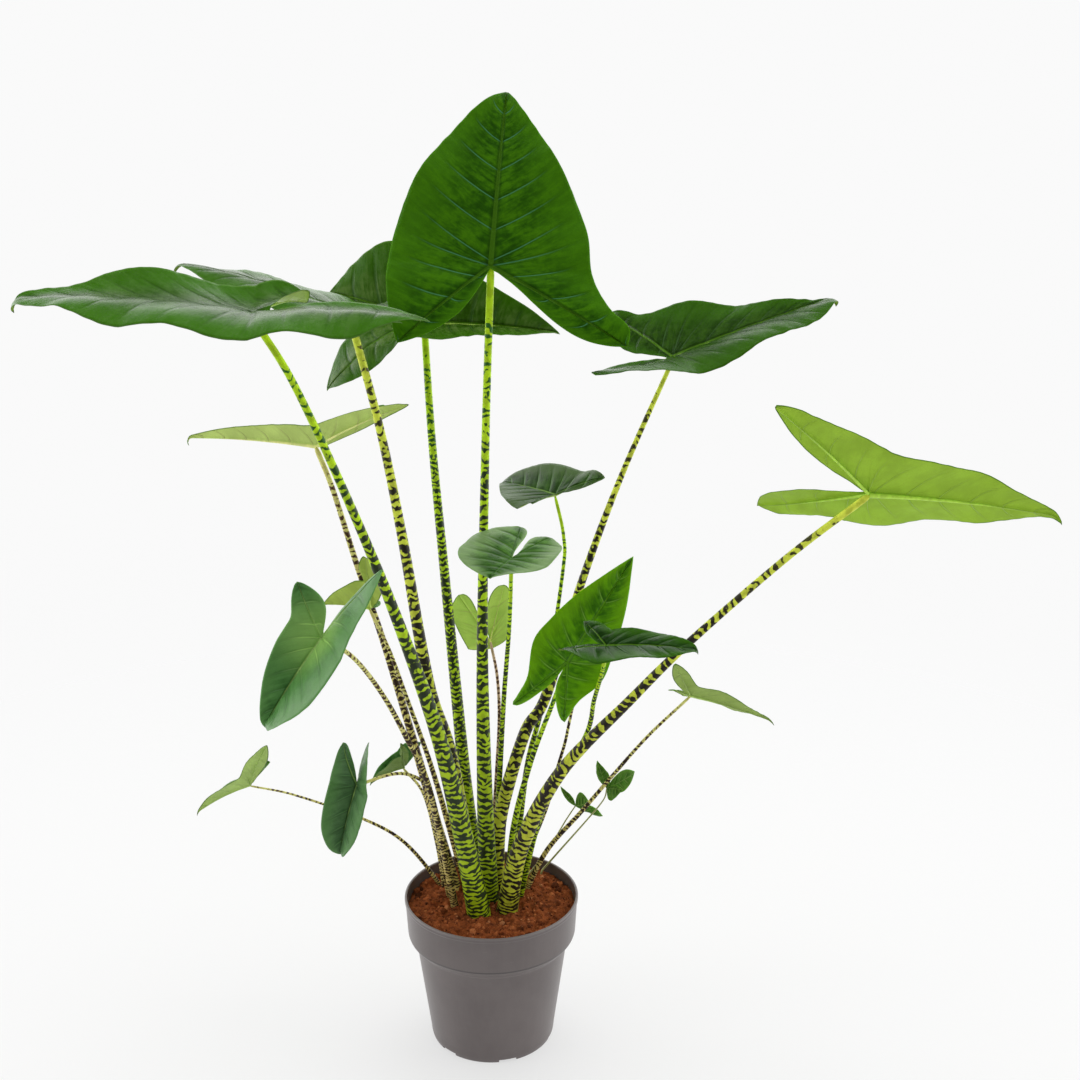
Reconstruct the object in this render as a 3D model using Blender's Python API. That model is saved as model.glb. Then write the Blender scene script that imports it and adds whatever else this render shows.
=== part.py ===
"""A potted arrow-leaved house plant with barred leaf stalks, at its real size.

The origin is the middle of the pot's foot on the floor, +Z is up, and the side
that faces the viewer is -Y. The nursery pot and its soil stand still, and each
leaf is a barred stalk that stands in a hole in the soil and carries one blade.
"""
import math

import bpy
from mathutils import Vector, noise
from mathutils.bvhtree import BVHTree

MM = 0.001

# Pot, in millimetres
POT_HEIGHT = 188.0
RIM_RADIUS = 105.0
BAND_FOOT_HEIGHT = 134.0
BAND_FOOT_RADIUS = 101.5
SHOULDER_FOOT_HEIGHT = 117.0
SHOULDER_FOOT_RADIUS = 92.0
FOOT_RADIUS = 76.0
FOOT_RING_INNER_RADIUS = 61.0
WALL = 1.8
FLOOR_UNDERSIDE = 4.0
FLOOR_TOP = 6.5
PAD_RADIUS = 20.0
DRAIN_HOLES = 6
DRAIN_HOLE_RADIUS = 5.0
DRAIN_CIRCLE_RADIUS = 42.0
FOOT_NOTCHES = 6
FOOT_NOTCH_WIDTH = 22.0
FOOT_NOTCH_HEIGHT = 4.5
FOOT_NOTCH_REACH = 30.0
FOOT_NOTCH_CIRCLE_RADIUS = 69.0
DRAIN_DRILL_LENGTH = 20.0
FIRST_NOTCH_ANGLE = -74.0
POT_SIDES = 40

# Soil
SOIL_HEIGHT = 174.0
SOIL_MOUND = 4.0
SOIL_ROUGHNESS = 2.2
SOIL_SIDES = 30
SOIL_RINGS = 5
CLEARANCE = 0.35
SOCKET_TOP_HEIGHT = 190.0
STALK_DEPTH = 26.0

# Leaves
BLADE_THICKNESS = 0.9
STALK_SIDES = 8
STALK_RINGS = 12

POT_COLOUR = (0.115, 0.098, 0.094)
SOIL_COLOUR = (0.115, 0.035, 0.018)
BLADE_COLOURS = {
    "rich": (0.022, 0.130, 0.008),
    "dark": (0.012, 0.070, 0.012),
    "pale": (0.260, 0.430, 0.070),
    "bright": (0.060, 0.300, 0.006),
    "blue": (0.018, 0.110, 0.040),
    "grey": (0.045, 0.135, 0.050),
}
STALK_COLOURS = {
    "lime": (0.250, 0.420, 0.030),
    "yellow": (0.340, 0.400, 0.070),
    "tan": (0.400, 0.330, 0.130),
    "pink": (0.420, 0.290, 0.200),
}

# Each leaf's places are in millimetres.
# A blade is spanned by its joint with the stalk, its tip and the ends of its lobes,
# left and right as seen on its upper face. By half, left then right: "widths" at the
# joint; "lean", "droop" and "fold" as the margin's rise, its sag and how far its edge
# folds down; "rise" of a lobe's inner margin; "twist" as a rise towards the tip and a
# fall along the lobe; "blunt" and "round" as how full the tip and the lobe's end are;
# "bulge" and "belly" as the swelling of a lobe's outer and inner margin; "waves" and
# "wave" as the count and height of the margin's waves and "phase" as their start.
# "bow" is the arch of the midrib, "hook" and "curl" turn the tip down by millimetres
# or degrees, and "web" is how far the sinus ends behind the joint, as a share of the
# blade's length. A stalk's path runs from the soil to the blade, its "radii" are those
# at the foot and top, and "taper" says how soon it gets thin.
LEAVES = {
    "crown": dict(
        joint=(5, 30, 938), tip=(22, 130, 1124), left=(-96, -5, 860), right=(153, -12, 857),
        widths=(113, 111), lean=(0, 0), droop=(3, 3), blunt=(0.35, 0.0),
        bulge=(0.5, 0.0), belly=(0.65, 0.40), round=(0, 0.5),
        bow=6, hook=10, web=0.012, waves=(3, 3), wave=(4, 4),
        path=[(-3, 2, 174), (-7, 4, 321), (-8, 12, 511), (-2, 22, 753)],
        radii=(13.0, 4.2), taper=2.2, blade="rich", stalk="lime"),
    "long_left": dict(
        joint=(-224, -145, 913), tip=(-457, -177, 931), left=(-43, -230, 918),
        right=(-183, -55, 911),
        widths=(100, 76), lean=(-2, -4), droop=(2, -2), fold=(22, -19), rise=(9, 20),
        blunt=(0.5, 0.3), bulge=(0.3, 0.6), belly=(0.5, 0.9), bow=7, curl=110, waves=(4, 2),
        wave=(4, 6), phase=(0.51, 0.31),
        path=[(-14, -28, 174), (-34, -44, 305), (-59, -66, 437), (-103, -95, 597),
              (-148, -119, 734), (-190, -136, 844)],
        radii=(15.0, 3.6), taper=1.8, blade="dark", stalk="lime"),
    "back_left": dict(
        joint=(-149, 40, 883), tip=(-362, 100, 934), left=(-86, -40, 887),
        right=(-75, 140, 898),
        widths=(62, 66), lean=(-12, -14), droop=(2, 2), fold=(15, 3), blunt=(0.2, 0.4),
        bulge=(0.3, 0.6), belly=(0.6, 0.8), bow=8, curl=120, waves=(3, 3), wave=(3, 3),
        path=[(-24, 23, 174), (-48, 26, 354), (-73, 28, 449), (-99, 31, 627),
              (-122, 35, 758)],
        radii=(11.0, 4.2), blade="dark", stalk="yellow"),
    "centre_back": dict(
        joint=(-83, 190, 851), tip=(83, 170, 843), left=(-198, 220, 885),
        right=(-194, 132, 780),
        widths=(66, 50), lean=(20, 42), droop=(-4, 0), bulge=(2.7, 0.8), belly=(0.8, 1.2),
        bow=6, hook=4, waves=(3, 3), wave=(3, 3),
        path=[(-17, 48, 174), (-32, 72, 283), (-44, 99, 403), (-59, 131, 564),
              (-72, 158, 711)],
        radii=(9.5, 4.2), blade="dark", stalk="lime"),
    "right": dict(
        joint=(211, 95, 827), tip=(411, 155, 889), left=(139, 185, 858),
        right=(115, 5, 826),
        widths=(85, 61), lean=(8, -22), droop=(-6, 2), fold=(0, 16), rise=(0, 8),
        blunt=(-0.5, 0.8), round=(0, 0.8), bulge=(0.0, 1.2), belly=(0.7, 0.5), bow=2, curl=90, web=0.03,
        waves=(2.5, 2.5), wave=(5, 5), phase=(0.70, 0.30),
        path=[(5, 27, 174), (7, 30, 242), (14, 38, 289), (41, 50, 378), (66, 56, 422),
              (109, 71, 564), (155, 83, 691)],
        radii=(10.5, 2.6), blade="dark", stalk="yellow"),
    "far_right": dict(
        joint=(403, -100, 718), tip=(620, -80, 685), left=(299, -20, 682),
        right=(288, -180, 826),
        widths=(72, 66), lean=(-14, 2), droop=(2, 2), blunt=(0.0, 0.0), round=(0.6, 0),
        bulge=(0.3, 0.3), belly=(1.2, 0.4), bow=4, curl=70, web=0.02, waves=(3, 3), wave=(3, 3),
        path=[(19, -20, 174), (36, -33, 268), (83, -48, 372), (159, -61, 465),
              (222, -73, 539), (323, -88, 642)],
        radii=(14.0, 3.7), taper=2.4, blade="pale", stalk="yellow"),
    "low_left": dict(
        joint=(-215, 180, 702), tip=(-391, 220, 703), left=(-96, 130, 764),
        right=(-134, 225, 742),
        widths=(28, 30), lean=(2, 0), droop=(0, 0), bulge=(0.2, 0.1), belly=(0.3, 0.3),
        bow=3, curl=140, waves=(2, 2), wave=(2, 2),
        path=[(-44, 31, 174), (-71, 69, 252), (-104, 107, 358), (-137, 132, 467),
              (-167, 150, 555), (-196, 166, 650)],
        radii=(6.5, 3.2), blade="pale", stalk="tan"),
    "small_high": dict(
        joint=(77, 105, 660), tip=(9, 180, 656), left=(50, 64, 660), right=(136, 108, 680),
        widths=(60, 52), lean=(0, 2), droop=(5, 0), twist=(0, 1), blunt=(0.0, 1.2),
        bulge=(0.6, 1.0), belly=(0.1, 0.6), bow=2, hook=3, web=0.02,
        waves=(2, 2), wave=(1, 1),
        path=[(26, 40, 174), (42, 68, 318), (63, 84, 406), (86, 98, 564), (87, 100, 610)],
        radii=(4.5, 2.0), blade="grey", stalk="lime"),
    "small_round": dict(
        joint=(28, -53, 631), tip=(5, -93, 622), left=(71, -9, 641), right=(37, 17, 646),
        widths=(46, 60), lean=(3, 3), droop=(0, 0), blunt=(0.0, 1.0), round=(0.9, 0.7),
        bulge=(1.6, 2.0), belly=(2.5, 0.9), bow=1, hook=2, web=0.0, waves=(2, 2), wave=(1, 1),
        path=[(3, 54, 174), (8, 51, 288), (16, 24, 431), (24, -20, 540)],
        radii=(4.2, 2.3), blade="grey", stalk="lime"),
    "small_folded": dict(
        joint=(-4, 150, 458), tip=(-2, 150, 447), left=(-42, 140, 522), right=(14, 150, 532),
        widths=(31, 22), lean=(0, 0), droop=(0, 0), blunt=(0.5, 0.2), round=(0.4, 0),
        bulge=(1.0, 0.4), belly=(0.8, 1.4), bow=1, hook=0, web=0.02, waves=(2, 2), wave=(1, 1),
        path=[(-3, 66, 174), (5, 85, 305), (8, 110, 371), (5, 132, 418)],
        radii=(3.8, 1.8), blade="pale", stalk="pink"),
    "bright": dict(
        joint=(90, -35, 502), tip=(165, 5, 615), left=(28, -55, 458), right=(86, -65, 441),
        widths=(46, 44), lean=(0, 0), droop=(3, 3), bulge=(-0.8, -0.6), belly=(0.85, 1.0),
        bow=3, hook=3, waves=(2, 2), wave=(3, 3),
        path=[(20, 5, 174), (27, -5, 275), (48, -15, 369), (75, -26, 452)],
        radii=(5.2, 2.4), blade="bright", stalk="lime"),
    "dark_small": dict(
        joint=(129, -120, 554), tip=(227, -150, 560), left=(106, -80, 567),
        right=(77, -150, 561),
        widths=(28, 40), lean=(-1, -8), droop=(2, 4), blunt=(0.6, 0.4), bulge=(0.8, 0.6),
        belly=(0.6, 0.6), bow=3, curl=80, waves=(2, 2), wave=(2, 2),
        path=[(34, 12, 174), (62, 2, 298), (111, -12, 398), (120, -48, 461), (127, -88, 511)],
        radii=(4.6, 2.2), blade="dark", stalk="lime"),
    "hidden_young": dict(
        joint=(117, 86, 484), tip=(145, 70, 534), left=(94, 70, 455), right=(125, 68, 447),
        widths=(26, 24), lean=(0, 0), droop=(2, 2), bulge=(0.8, 0.8), belly=(0.7, 0.7),
        bow=2, hook=2, waves=(2, 2), wave=(2, 2),
        path=[(30, 60, 174), (65, 64, 264), (81, 70, 323), (90, 74, 355), (97, 80, 389)],
        radii=(3.0, 1.6), blade="rich", stalk="tan"),
    "thin_right": dict(
        joint=(239, 50, 426), tip=(344, 60, 386), left=(215, 80, 420), right=(215, 20, 477),
        widths=(26, 24), lean=(0, 0), droop=(0, 0), bulge=(0.6, 0.3), belly=(0.6, 0.6),
        bow=2, hook=4, waves=(2, 2), wave=(2, 2),
        path=[(42, 30, 174), (68, 34, 228), (109, 38, 277), (144, 42, 320),
              (189, 46, 374)],
        radii=(3.8, 1.7), blade="pale", stalk="tan"),
    "front_left": dict(
        joint=(-168, -160, 578), tip=(-229, -190, 487), left=(-100, -180, 659),
        right=(-192, -150, 636),
        widths=(84, 38), lean=(0, 0), droop=(4, 4), blunt=(0.7, 0.4), bulge=(0.1, 0.0),
        belly=(0.5, 1.0), bow=3, curl=80, web=0.04, waves=(2, 2), wave=(2, 2),
        path=[(-44, -10, 174), (-68, -53, 351), (-92, -79, 432), (-115, -103, 494),
              (-140, -137, 548)],
        radii=(5.0, 2.3), blade="blue", stalk="tan"),
    "pale_left": dict(
        joint=(-142, 58, 534), tip=(-201, 70, 534), left=(-141, 20, 609),
        right=(-136, 90, 532),
        widths=(44, 30), lean=(0, 0), droop=(0, 0), bulge=(0.4, 0.6), belly=(0.6, 0.6),
        bow=2, hook=3, waves=(2, 2), wave=(2, 2),
        path=[(-34, 42, 174), (-56, 50, 262), (-76, 54, 338), (-103, 56, 424),
              (-121, 58, 480)],
        radii=(4.6, 2.0), blade="pale", stalk="tan"),
    "outer_left": dict(
        joint=(-301, 75, 295), tip=(-371, 75, 256), left=(-271, 45, 363),
        right=(-278, 95, 317),
        widths=(24, 22), lean=(0, 0), droop=(2, 2), bulge=(0.5, 0.5), belly=(0.6, 0.6),
        bow=3, hook=3, waves=(2, 2), wave=(2, 2),
        path=[(-66, 44, 174), (-108, 52, 227), (-158, 62, 254), (-245, 73, 282)],
        radii=(2.8, 1.2), blade="grey", stalk="tan"),
    "hanging_left": dict(
        joint=(-149, -70, 366), tip=(-170, -82, 284), left=(-134, -70, 419),
        right=(-161, -80, 423),
        widths=(32, 30), lean=(0, 0), droop=(10, 10), blunt=(1.4, 1.2), bulge=(1.0, 0.0),
        belly=(0.9, 0.6), bow=4, hook=3, web=0.03, waves=(2, 2), wave=(1, 1),
        path=[(-52, 10, 174), (-64, -16, 280), (-71, -31, 341), (-89, -40, 363),
              (-112, -51, 370)],
        radii=(3.4, 1.8), blade="blue", stalk="tan"),
    "teal_left": dict(
        joint=(-114, 120, 297), tip=(-156, 100, 283), left=(-115, 105, 338),
        right=(-92, 130, 328),
        widths=(24, 24), lean=(0, 0), droop=(3, 3), bulge=(0.8, 0.8), belly=(0.6, 0.6),
        bow=3, hook=2, waves=(2, 2), wave=(2, 2),
        path=[(-60, 36, 174), (-70, 62, 223), (-88, 96, 273)],
        radii=(3.0, 1.6), blade="blue", stalk="tan"),
}

# Two seedlings stand among the stalks. Each is one thin stem with small leaflets,
# given by their tips and the middles of their two margins, in millimetres.
SEEDLINGS = {
    "seedling_high": dict(
        path=[(60, 70, 174), (70, 72, 189), (115, 66, 249), (137, 62, 281), (141, 60, 298)],
        leaflets=[((129, 52, 336), (128, 51, 321), (143, 52, 321)),
                  ((176, 66, 316), (160, 64, 321), (162, 62, 294)),
                  ((159, 48, 302), (152, 52, 306), (146, 44, 289))]),
    "seedling_low": dict(
        path=[(42, 60, 174), (60, 64, 198), (78, 68, 226), (91, 74, 247), (103, 78, 265)],
        leaflets=[((84, 84, 288), (91, 79, 275), (97, 79, 280)),
                  ((121, 82, 267), (109, 80, 283), (113, 79, 261)),
                  ((138, 80, 248), (125, 84, 262), (120, 83, 253))]),
}
STEM_RADII = (1.5, 0.8)
STEM_RINGS = 8
LEAFLET_ROWS = (0.0, 0.2, 0.45, 0.7, 0.9, 1.0)
LEAFLET_END_SHARE = 0.08
LEAFLET_ROOT = 0.9


def millimetres(place):
    """A place given in millimetres, as a vector in metres."""
    return Vector(place) * MM


def smooth_path(points, count):
    """Count + 1 points, evenly spaced along a smooth curve through the given ones."""
    ends = [points[0] * 2 - points[1], *points, points[-1] * 2 - points[-2]]
    fine = []
    for a, b, c, d in zip(ends, ends[1:], ends[2:], ends[3:]):
        for step in range(16):
            t = step / 16
            fine.append(0.5 * (2 * b + (c - a) * t + (2 * a - 5 * b + 4 * c - d) * t * t
                               + (3 * b - 3 * c + d - a) * t ** 3))
    fine.append(points[-1])
    travel = [0.0]
    for before, after in zip(fine, fine[1:]):
        travel.append(travel[-1] + (after - before).length)
    even, k = [], 0
    for step in range(count + 1):
        goal = travel[-1] * step / count
        while k < len(travel) - 2 and travel[k + 1] < goal:
            k += 1
        share = (goal - travel[k]) / (travel[k + 1] - travel[k])
        even.append(fine[k].lerp(fine[k + 1], min(max(share, 0.0), 1.0)))
    return even


def add_material(name, colour, roughness):
    material = bpy.data.materials.new(name)
    material.use_nodes = True
    shader = material.node_tree.nodes["Principled BSDF"]
    shader.inputs["Base Color"].default_value = (*colour, 1.0)
    shader.inputs["Roughness"].default_value = roughness
    shader.inputs["Metallic"].default_value = 0.0
    return material


def add_object(name, vertices, faces, colour, roughness, crease=40.0):
    """One closed mesh object with its own material, shaded smooth."""
    mesh = bpy.data.meshes.new(name)
    mesh.from_pydata([tuple(v) for v in vertices], [], faces)
    mesh.validate()
    mesh.shade_smooth()
    mesh.set_sharp_from_angle(angle=math.radians(crease))
    made = bpy.data.objects.new(name, mesh)
    bpy.context.collection.objects.link(made)
    made.data.materials.append(add_material(name, colour, roughness))
    return made


def settle(target):
    """Put an object's modifiers into its mesh."""
    depsgraph = bpy.context.evaluated_depsgraph_get()
    mesh = bpy.data.meshes.new_from_object(target.evaluated_get(depsgraph))
    mesh.name = target.name
    target.modifiers.clear()
    target.data = mesh


def cut(target, cutters):
    """Take the cutters' volume out of the target, and remove the cutters."""
    for cutter in cutters:
        cutter.hide_render = True
        cutter.display_type = "WIRE"
        step = target.modifiers.new("cut", "BOOLEAN")
        step.operation = "DIFFERENCE"
        step.object = cutter
    settle(target)
    for cutter in cutters:
        bpy.data.objects.remove(cutter)


def foot_notches():
    """Blocks that leave the low slots in the pot's foot ring."""
    blocks = []
    for index in range(FOOT_NOTCHES):
        angle = math.radians(FIRST_NOTCH_ANGLE + 360.0 * index / FOOT_NOTCHES)
        bpy.ops.mesh.primitive_cube_add(
            size=1.0, location=millimetres((FOOT_NOTCH_CIRCLE_RADIUS * math.cos(angle),
                                  FOOT_NOTCH_CIRCLE_RADIUS * math.sin(angle), 0)),
            rotation=(0, 0, angle))
        block = bpy.context.object
        block.scale = (FOOT_NOTCH_REACH * MM, FOOT_NOTCH_WIDTH * MM, 2 * FOOT_NOTCH_HEIGHT * MM)
        blocks.append(block)
    return blocks


def drain_drills():
    """Round bars that leave the drain holes in the pot's floor."""
    drills = []
    for index in range(DRAIN_HOLES):
        angle = math.radians(FIRST_NOTCH_ANGLE + (index + 0.5) * 360.0 / DRAIN_HOLES)
        bpy.ops.mesh.primitive_cylinder_add(
            vertices=12, radius=DRAIN_HOLE_RADIUS * MM, depth=DRAIN_DRILL_LENGTH * MM,
            location=millimetres((DRAIN_CIRCLE_RADIUS * math.cos(angle),
                                  DRAIN_CIRCLE_RADIUS * math.sin(angle), FLOOR_TOP)))
        drills.append(bpy.context.object)
    return drills


def pot_inner_radius(height):
    """Inside radius of the pot wall at a height, both in millimetres."""
    stations = [(FLOOR_TOP, FOOT_RADIUS - WALL - 2.5), (16.0, FOOT_RADIUS - WALL),
                (SHOULDER_FOOT_HEIGHT, SHOULDER_FOOT_RADIUS - WALL),
                (BAND_FOOT_HEIGHT, BAND_FOOT_RADIUS - WALL),
                (POT_HEIGHT - 1.5, RIM_RADIUS - WALL - 1.0)]
    for (low, r_low), (high, r_high) in zip(stations, stations[1:]):
        if height <= high:
            share = (height - low) / (high - low)
            return r_low + share * (r_high - r_low)
    return stations[-1][1]


def make_pot():
    profile = [
        (0.01, 0.0), (PAD_RADIUS, 0.0), (PAD_RADIUS + 2, FLOOR_UNDERSIDE),
        (FOOT_RING_INNER_RADIUS - 2, FLOOR_UNDERSIDE), (FOOT_RING_INNER_RADIUS, 0.0),
        (FOOT_RADIUS - 6, 0.0), (FOOT_RADIUS - 2.2, 1.2), (FOOT_RADIUS - 0.6, 4.5),
        (FOOT_RADIUS, 12.0), (SHOULDER_FOOT_RADIUS - 0.5, SHOULDER_FOOT_HEIGHT - 3),
        (SHOULDER_FOOT_RADIUS + 1.5, SHOULDER_FOOT_HEIGHT + 1),
        (BAND_FOOT_RADIUS - 1.5, BAND_FOOT_HEIGHT - 3), (BAND_FOOT_RADIUS, BAND_FOOT_HEIGHT),
        (RIM_RADIUS - 1.0, POT_HEIGHT - 5), (RIM_RADIUS, POT_HEIGHT - 2.6),
        (RIM_RADIUS - 0.6, POT_HEIGHT - 0.6), (RIM_RADIUS - 1.6, POT_HEIGHT),
        (RIM_RADIUS - WALL - 1.0, POT_HEIGHT - 1.5),
        (BAND_FOOT_RADIUS - WALL, BAND_FOOT_HEIGHT),
        (SHOULDER_FOOT_RADIUS - WALL, SHOULDER_FOOT_HEIGHT),
        (FOOT_RADIUS - WALL, 16.0), (FOOT_RADIUS - WALL - 2.5, FLOOR_TOP),
        (0.01, FLOOR_TOP),
    ]
    sides = POT_SIDES
    vertices, rings = [], []
    for radius, height in profile:
        if radius < 1.0:
            rings.append([len(vertices)] * sides)
            vertices.append(millimetres((0, 0, height)))
            continue
        rings.append([len(vertices) + k for k in range(sides)])
        for k in range(sides):
            angle = 2 * math.pi * k / sides
            vertices.append(millimetres(
                (radius * math.cos(angle), radius * math.sin(angle), height)))
    faces = []
    for lower, upper in zip(rings, rings[1:]):
        for k in range(sides):
            m = (k + 1) % sides
            corners = [lower[k], lower[m], upper[m], upper[k]]
            for triangle in ((corners[0], corners[1], corners[2]),
                             (corners[0], corners[2], corners[3])):
                if len(set(triangle)) == 3:
                    faces.append(triangle)
    pot = add_object("pot", vertices, faces, POT_COLOUR, 0.42)
    cut(pot, foot_notches() + drain_drills())
    return pot


def soil_surface(x, y):
    """Height of the soil at a place, all in millimetres: a low mound, with clods."""
    reach = math.hypot(x, y) / RIM_RADIUS
    lump = noise.noise(Vector((x, y, 3.0)) * 0.045) + 0.6 * noise.noise(
        Vector((x, y, 9.0)) * 0.11)
    return SOIL_HEIGHT + SOIL_MOUND * (1 - reach * reach) + SOIL_ROUGHNESS * lump


def make_soil():
    sides = SOIL_SIDES
    edge_heights = [FLOOR_TOP + CLEARANCE, 16.0, SHOULDER_FOOT_HEIGHT, BAND_FOOT_HEIGHT]
    vertices, rings = [millimetres((0, 0, edge_heights[0]))], [[0] * sides]
    # A flat-sided ring lies inside the round wall by this share of its radius.
    inset = math.cos(math.pi / POT_SIDES)
    for height in edge_heights:
        radius = pot_inner_radius(height) * inset - CLEARANCE - 0.15
        rings.append([len(vertices) + k for k in range(sides)])
        for k in range(sides):
            angle = 2 * math.pi * k / sides
            vertices.append(millimetres(
                (radius * math.cos(angle), radius * math.sin(angle), height)))
    top_radius = pot_inner_radius(SOIL_HEIGHT) * inset - CLEARANCE - 0.15
    for ring in range(SOIL_RINGS):
        radius = top_radius * (1 - ring / SOIL_RINGS)
        rings.append([len(vertices) + k for k in range(sides)])
        for k in range(sides):
            angle = 2 * math.pi * (k + 0.5 * (ring % 2)) / sides
            x, y = radius * math.cos(angle), radius * math.sin(angle)
            vertices.append(millimetres((x, y, soil_surface(x, y))))
    rings.append([len(vertices)] * sides)
    vertices.append(millimetres((0, 0, soil_surface(0, 0))))
    faces = []
    for lower, upper in zip(rings, rings[1:]):
        for k in range(sides):
            m = (k + 1) % sides
            for triangle in ((lower[k], lower[m], upper[m]), (lower[k], upper[m], upper[k])):
                if len(set(triangle)) == 3:
                    faces.append(triangle)
    return add_object("soil", vertices, faces, SOIL_COLOUR, 0.95)


class Blade:
    """The upper surface of one arrow-shaped blade, as places worked out from a few.

    Each half lies in its own plane through the joint, the tip and its lobe's
    end. Every place in it is given by a station along its margin, from 0 at the
    tip to 1 at the lobe's end, and a share of the way there from the ribs: the
    midrib back to the joint and, from there, the rib of the lobe.
    """

    MIDRIB_STATION = 0.56
    LOBE_STATION = 0.68
    MARGIN_STEPS = 60
    CURL_START = 0.92
    POINTED = ((1.0, 0.0), (0.90, 0.15), (0.72, 0.41), (0.48, 0.70), (0.22, 0.92))
    BLUNT = ((1.0, 0.0), (0.96, 0.28), (0.84, 0.57), (0.62, 0.84), (0.32, 0.98))

    def __init__(self, leaf):
        self.leaf = leaf
        self.joint = millimetres(leaf["joint"])
        ahead = millimetres(leaf["tip"]) - self.joint
        self.length = ahead.length
        self.ahead = ahead.normalized()
        self.halves = []
        for side, turn in (("left", 1), ("right", -1)):
            reach = millimetres(leaf[side]) - self.joint
            back = reach.dot(self.ahead)
            across = reach - back * self.ahead
            outward = across.normalized()
            up = (self.ahead.cross(outward) * turn).normalized()
            index = 0 if turn == 1 else 1
            self.halves.append(dict(
                turn=turn, outward=outward, up=up, lobe=Vector((back, across.length, 0.0)),
                width=leaf["widths"][index] * MM, lean=leaf["lean"][index] * MM,
                droop=leaf["droop"][index] * MM, bulge=leaf["bulge"][index],
                belly=leaf["belly"][index], waves=leaf["waves"][index],
                wave=leaf["wave"][index] * MM, phase=leaf.get("phase", (0.0, 0.3))[index],
                fold=leaf.get("fold", (0.0, 0.0))[index] * MM,
                rise=leaf.get("rise", (0.0, 0.0))[index] * MM,
                twist=leaf.get("twist", (0.0, 0.0))[index] * MM,
                blunt=leaf.get("blunt", (0.0, 0.0))[index],
                round=leaf.get("round", (0.0, 0.0))[index]))
        self.up = (self.halves[0]["up"] + self.halves[1]["up"]).normalized()
        for half in self.halves:
            half["margin"] = self.margin(half)

    def margin(self, half):
        """The outer margin in the half's own plane, from the tip to the lobe's end."""
        length, width, lobe = self.length, half["width"], half["lobe"]
        outer = Vector((lobe.y, -lobe.x, 0.0))
        shoulder = Vector((0.0, width, 0.0))
        points = []
        for sharp, blunt in zip(self.POINTED, self.BLUNT):
            x, y = (a + (b - a) * half["blunt"] for a, b in zip(sharp, blunt))
            points.append(Vector((length * x, width * y, 0.0)))
        points.append(shoulder)
        points.append(shoulder.lerp(lobe, 0.48) + 0.13 * half["bulge"] * outer)
        swell = 0.085 * half["bulge"] + 0.11 * half["round"]
        points.append(shoulder.lerp(lobe, 0.84) + swell * outer)
        if half["round"]:
            points.append(shoulder.lerp(lobe, 0.97) + 0.08 * half["round"] * outer)
        points.append(lobe)
        return smooth_path(points, self.MARGIN_STEPS)

    def rim_place(self, half, station, inner):
        """The margin's place at a station, in the half's plane."""
        if not inner:
            edge = half["margin"]
            along = station * (len(edge) - 1)
            k = min(int(along), len(edge) - 2)
            return edge[k].lerp(edge[k + 1], along - k)
        lobe = half["lobe"]
        t = max(0.0, (station - self.LOBE_STATION) / (1 - self.LOBE_STATION))
        web = Vector((-self.leaf.get("web", 0.07) * self.length, 0.0, 0.0)) * (1 - t) ** 2
        belly = 0.32 * half["belly"] * lobe.y / lobe.length
        belly *= math.sin(math.pi * t ** (1 + half["round"]))
        return lobe * t - Vector((lobe.y, -lobe.x, 0.0)) * belly + web

    def rib_place(self, half, station):
        if station < self.MIDRIB_STATION:
            return Vector((self.length * (1 - station / self.MIDRIB_STATION), 0.0, 0.0))
        if station > self.LOBE_STATION:
            return half["lobe"] * ((station - self.LOBE_STATION) / (1 - self.LOBE_STATION))
        return Vector((0.0, 0.0, 0.0))

    def flat_place(self, half, station, share, inner):
        return self.rib_place(half, station).lerp(self.rim_place(half, station, inner), share)

    def lift(self, half, place, station, share, inner):
        """How far a place in a half's plane lies above it: arch, sag, folds and waves."""
        leaf, lobe = self.leaf, half["lobe"]
        x = place.x / self.length
        arch, t = 0.0, 0.0
        if x > 0:
            arch += leaf["bow"] * MM * 4 * x * (1 - x)
            arch -= leaf.get("hook", 0) * MM * max(0.0, (x - 0.90) / 0.10) ** 2
        else:
            t = min(1.0, place.x / lobe.x) if lobe.x < 0 else 0.0
            arch += leaf["bow"] * MM * 4 * t * (1 - t)
        wide = max(0.0, min(1.2, place.y / half["width"]))
        free = 1.0 - t if x <= 0 else 1.0
        local = (half["lean"] * wide - half["droop"] * wide * wide) * free
        if inner:
            lobe_share = (station - self.LOBE_STATION) / (1 - self.LOBE_STATION)
            return arch, local + half["rise"] * share * share * math.sin(math.pi * lobe_share)
        phase = 2 * math.pi * (half["waves"] * station + half["phase"])
        local += half["wave"] * math.sin(phase) * (share * share) * min(1.0, wide * 2)
        local += half["twist"] * share * share * math.sin(2 * math.pi * station)
        local -= half["fold"] * share ** 3 * min(1.0, 3 * station, 6 * (1 - station))
        return arch, local

    def place(self, half, station, share, inner=False):
        """A place on the blade's upper surface."""
        flat = self.flat_place(half, station, share, inner)
        arch, local = self.lift(half, flat, station, share, inner)
        forward = flat.x
        turn = math.radians(self.leaf.get("curl", 0))
        start = self.CURL_START * self.length
        if turn and forward > start:
            bent = turn * (forward - start) / (self.length - start)
            bend_radius = (self.length - start) / turn
            forward = start + bend_radius * math.sin(bent)
            arch -= bend_radius * (1 - math.cos(bent))
        return (self.joint + self.ahead * forward + half["outward"] * flat.y
                + self.up * arch + half["up"] * local)


def stations_of(front, fan, lobe):
    """Stations of the cross rows: along the midrib, round the joint, along a lobe."""
    a, b = Blade.MIDRIB_STATION, Blade.LOBE_STATION
    rows = [a * k / front for k in range(front)]
    rows += [a + (b - a) * k / fan for k in range(fan)]
    rows += [b + (1 - b) * k / lobe for k in range(lobe + 1)]
    return rows


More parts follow.
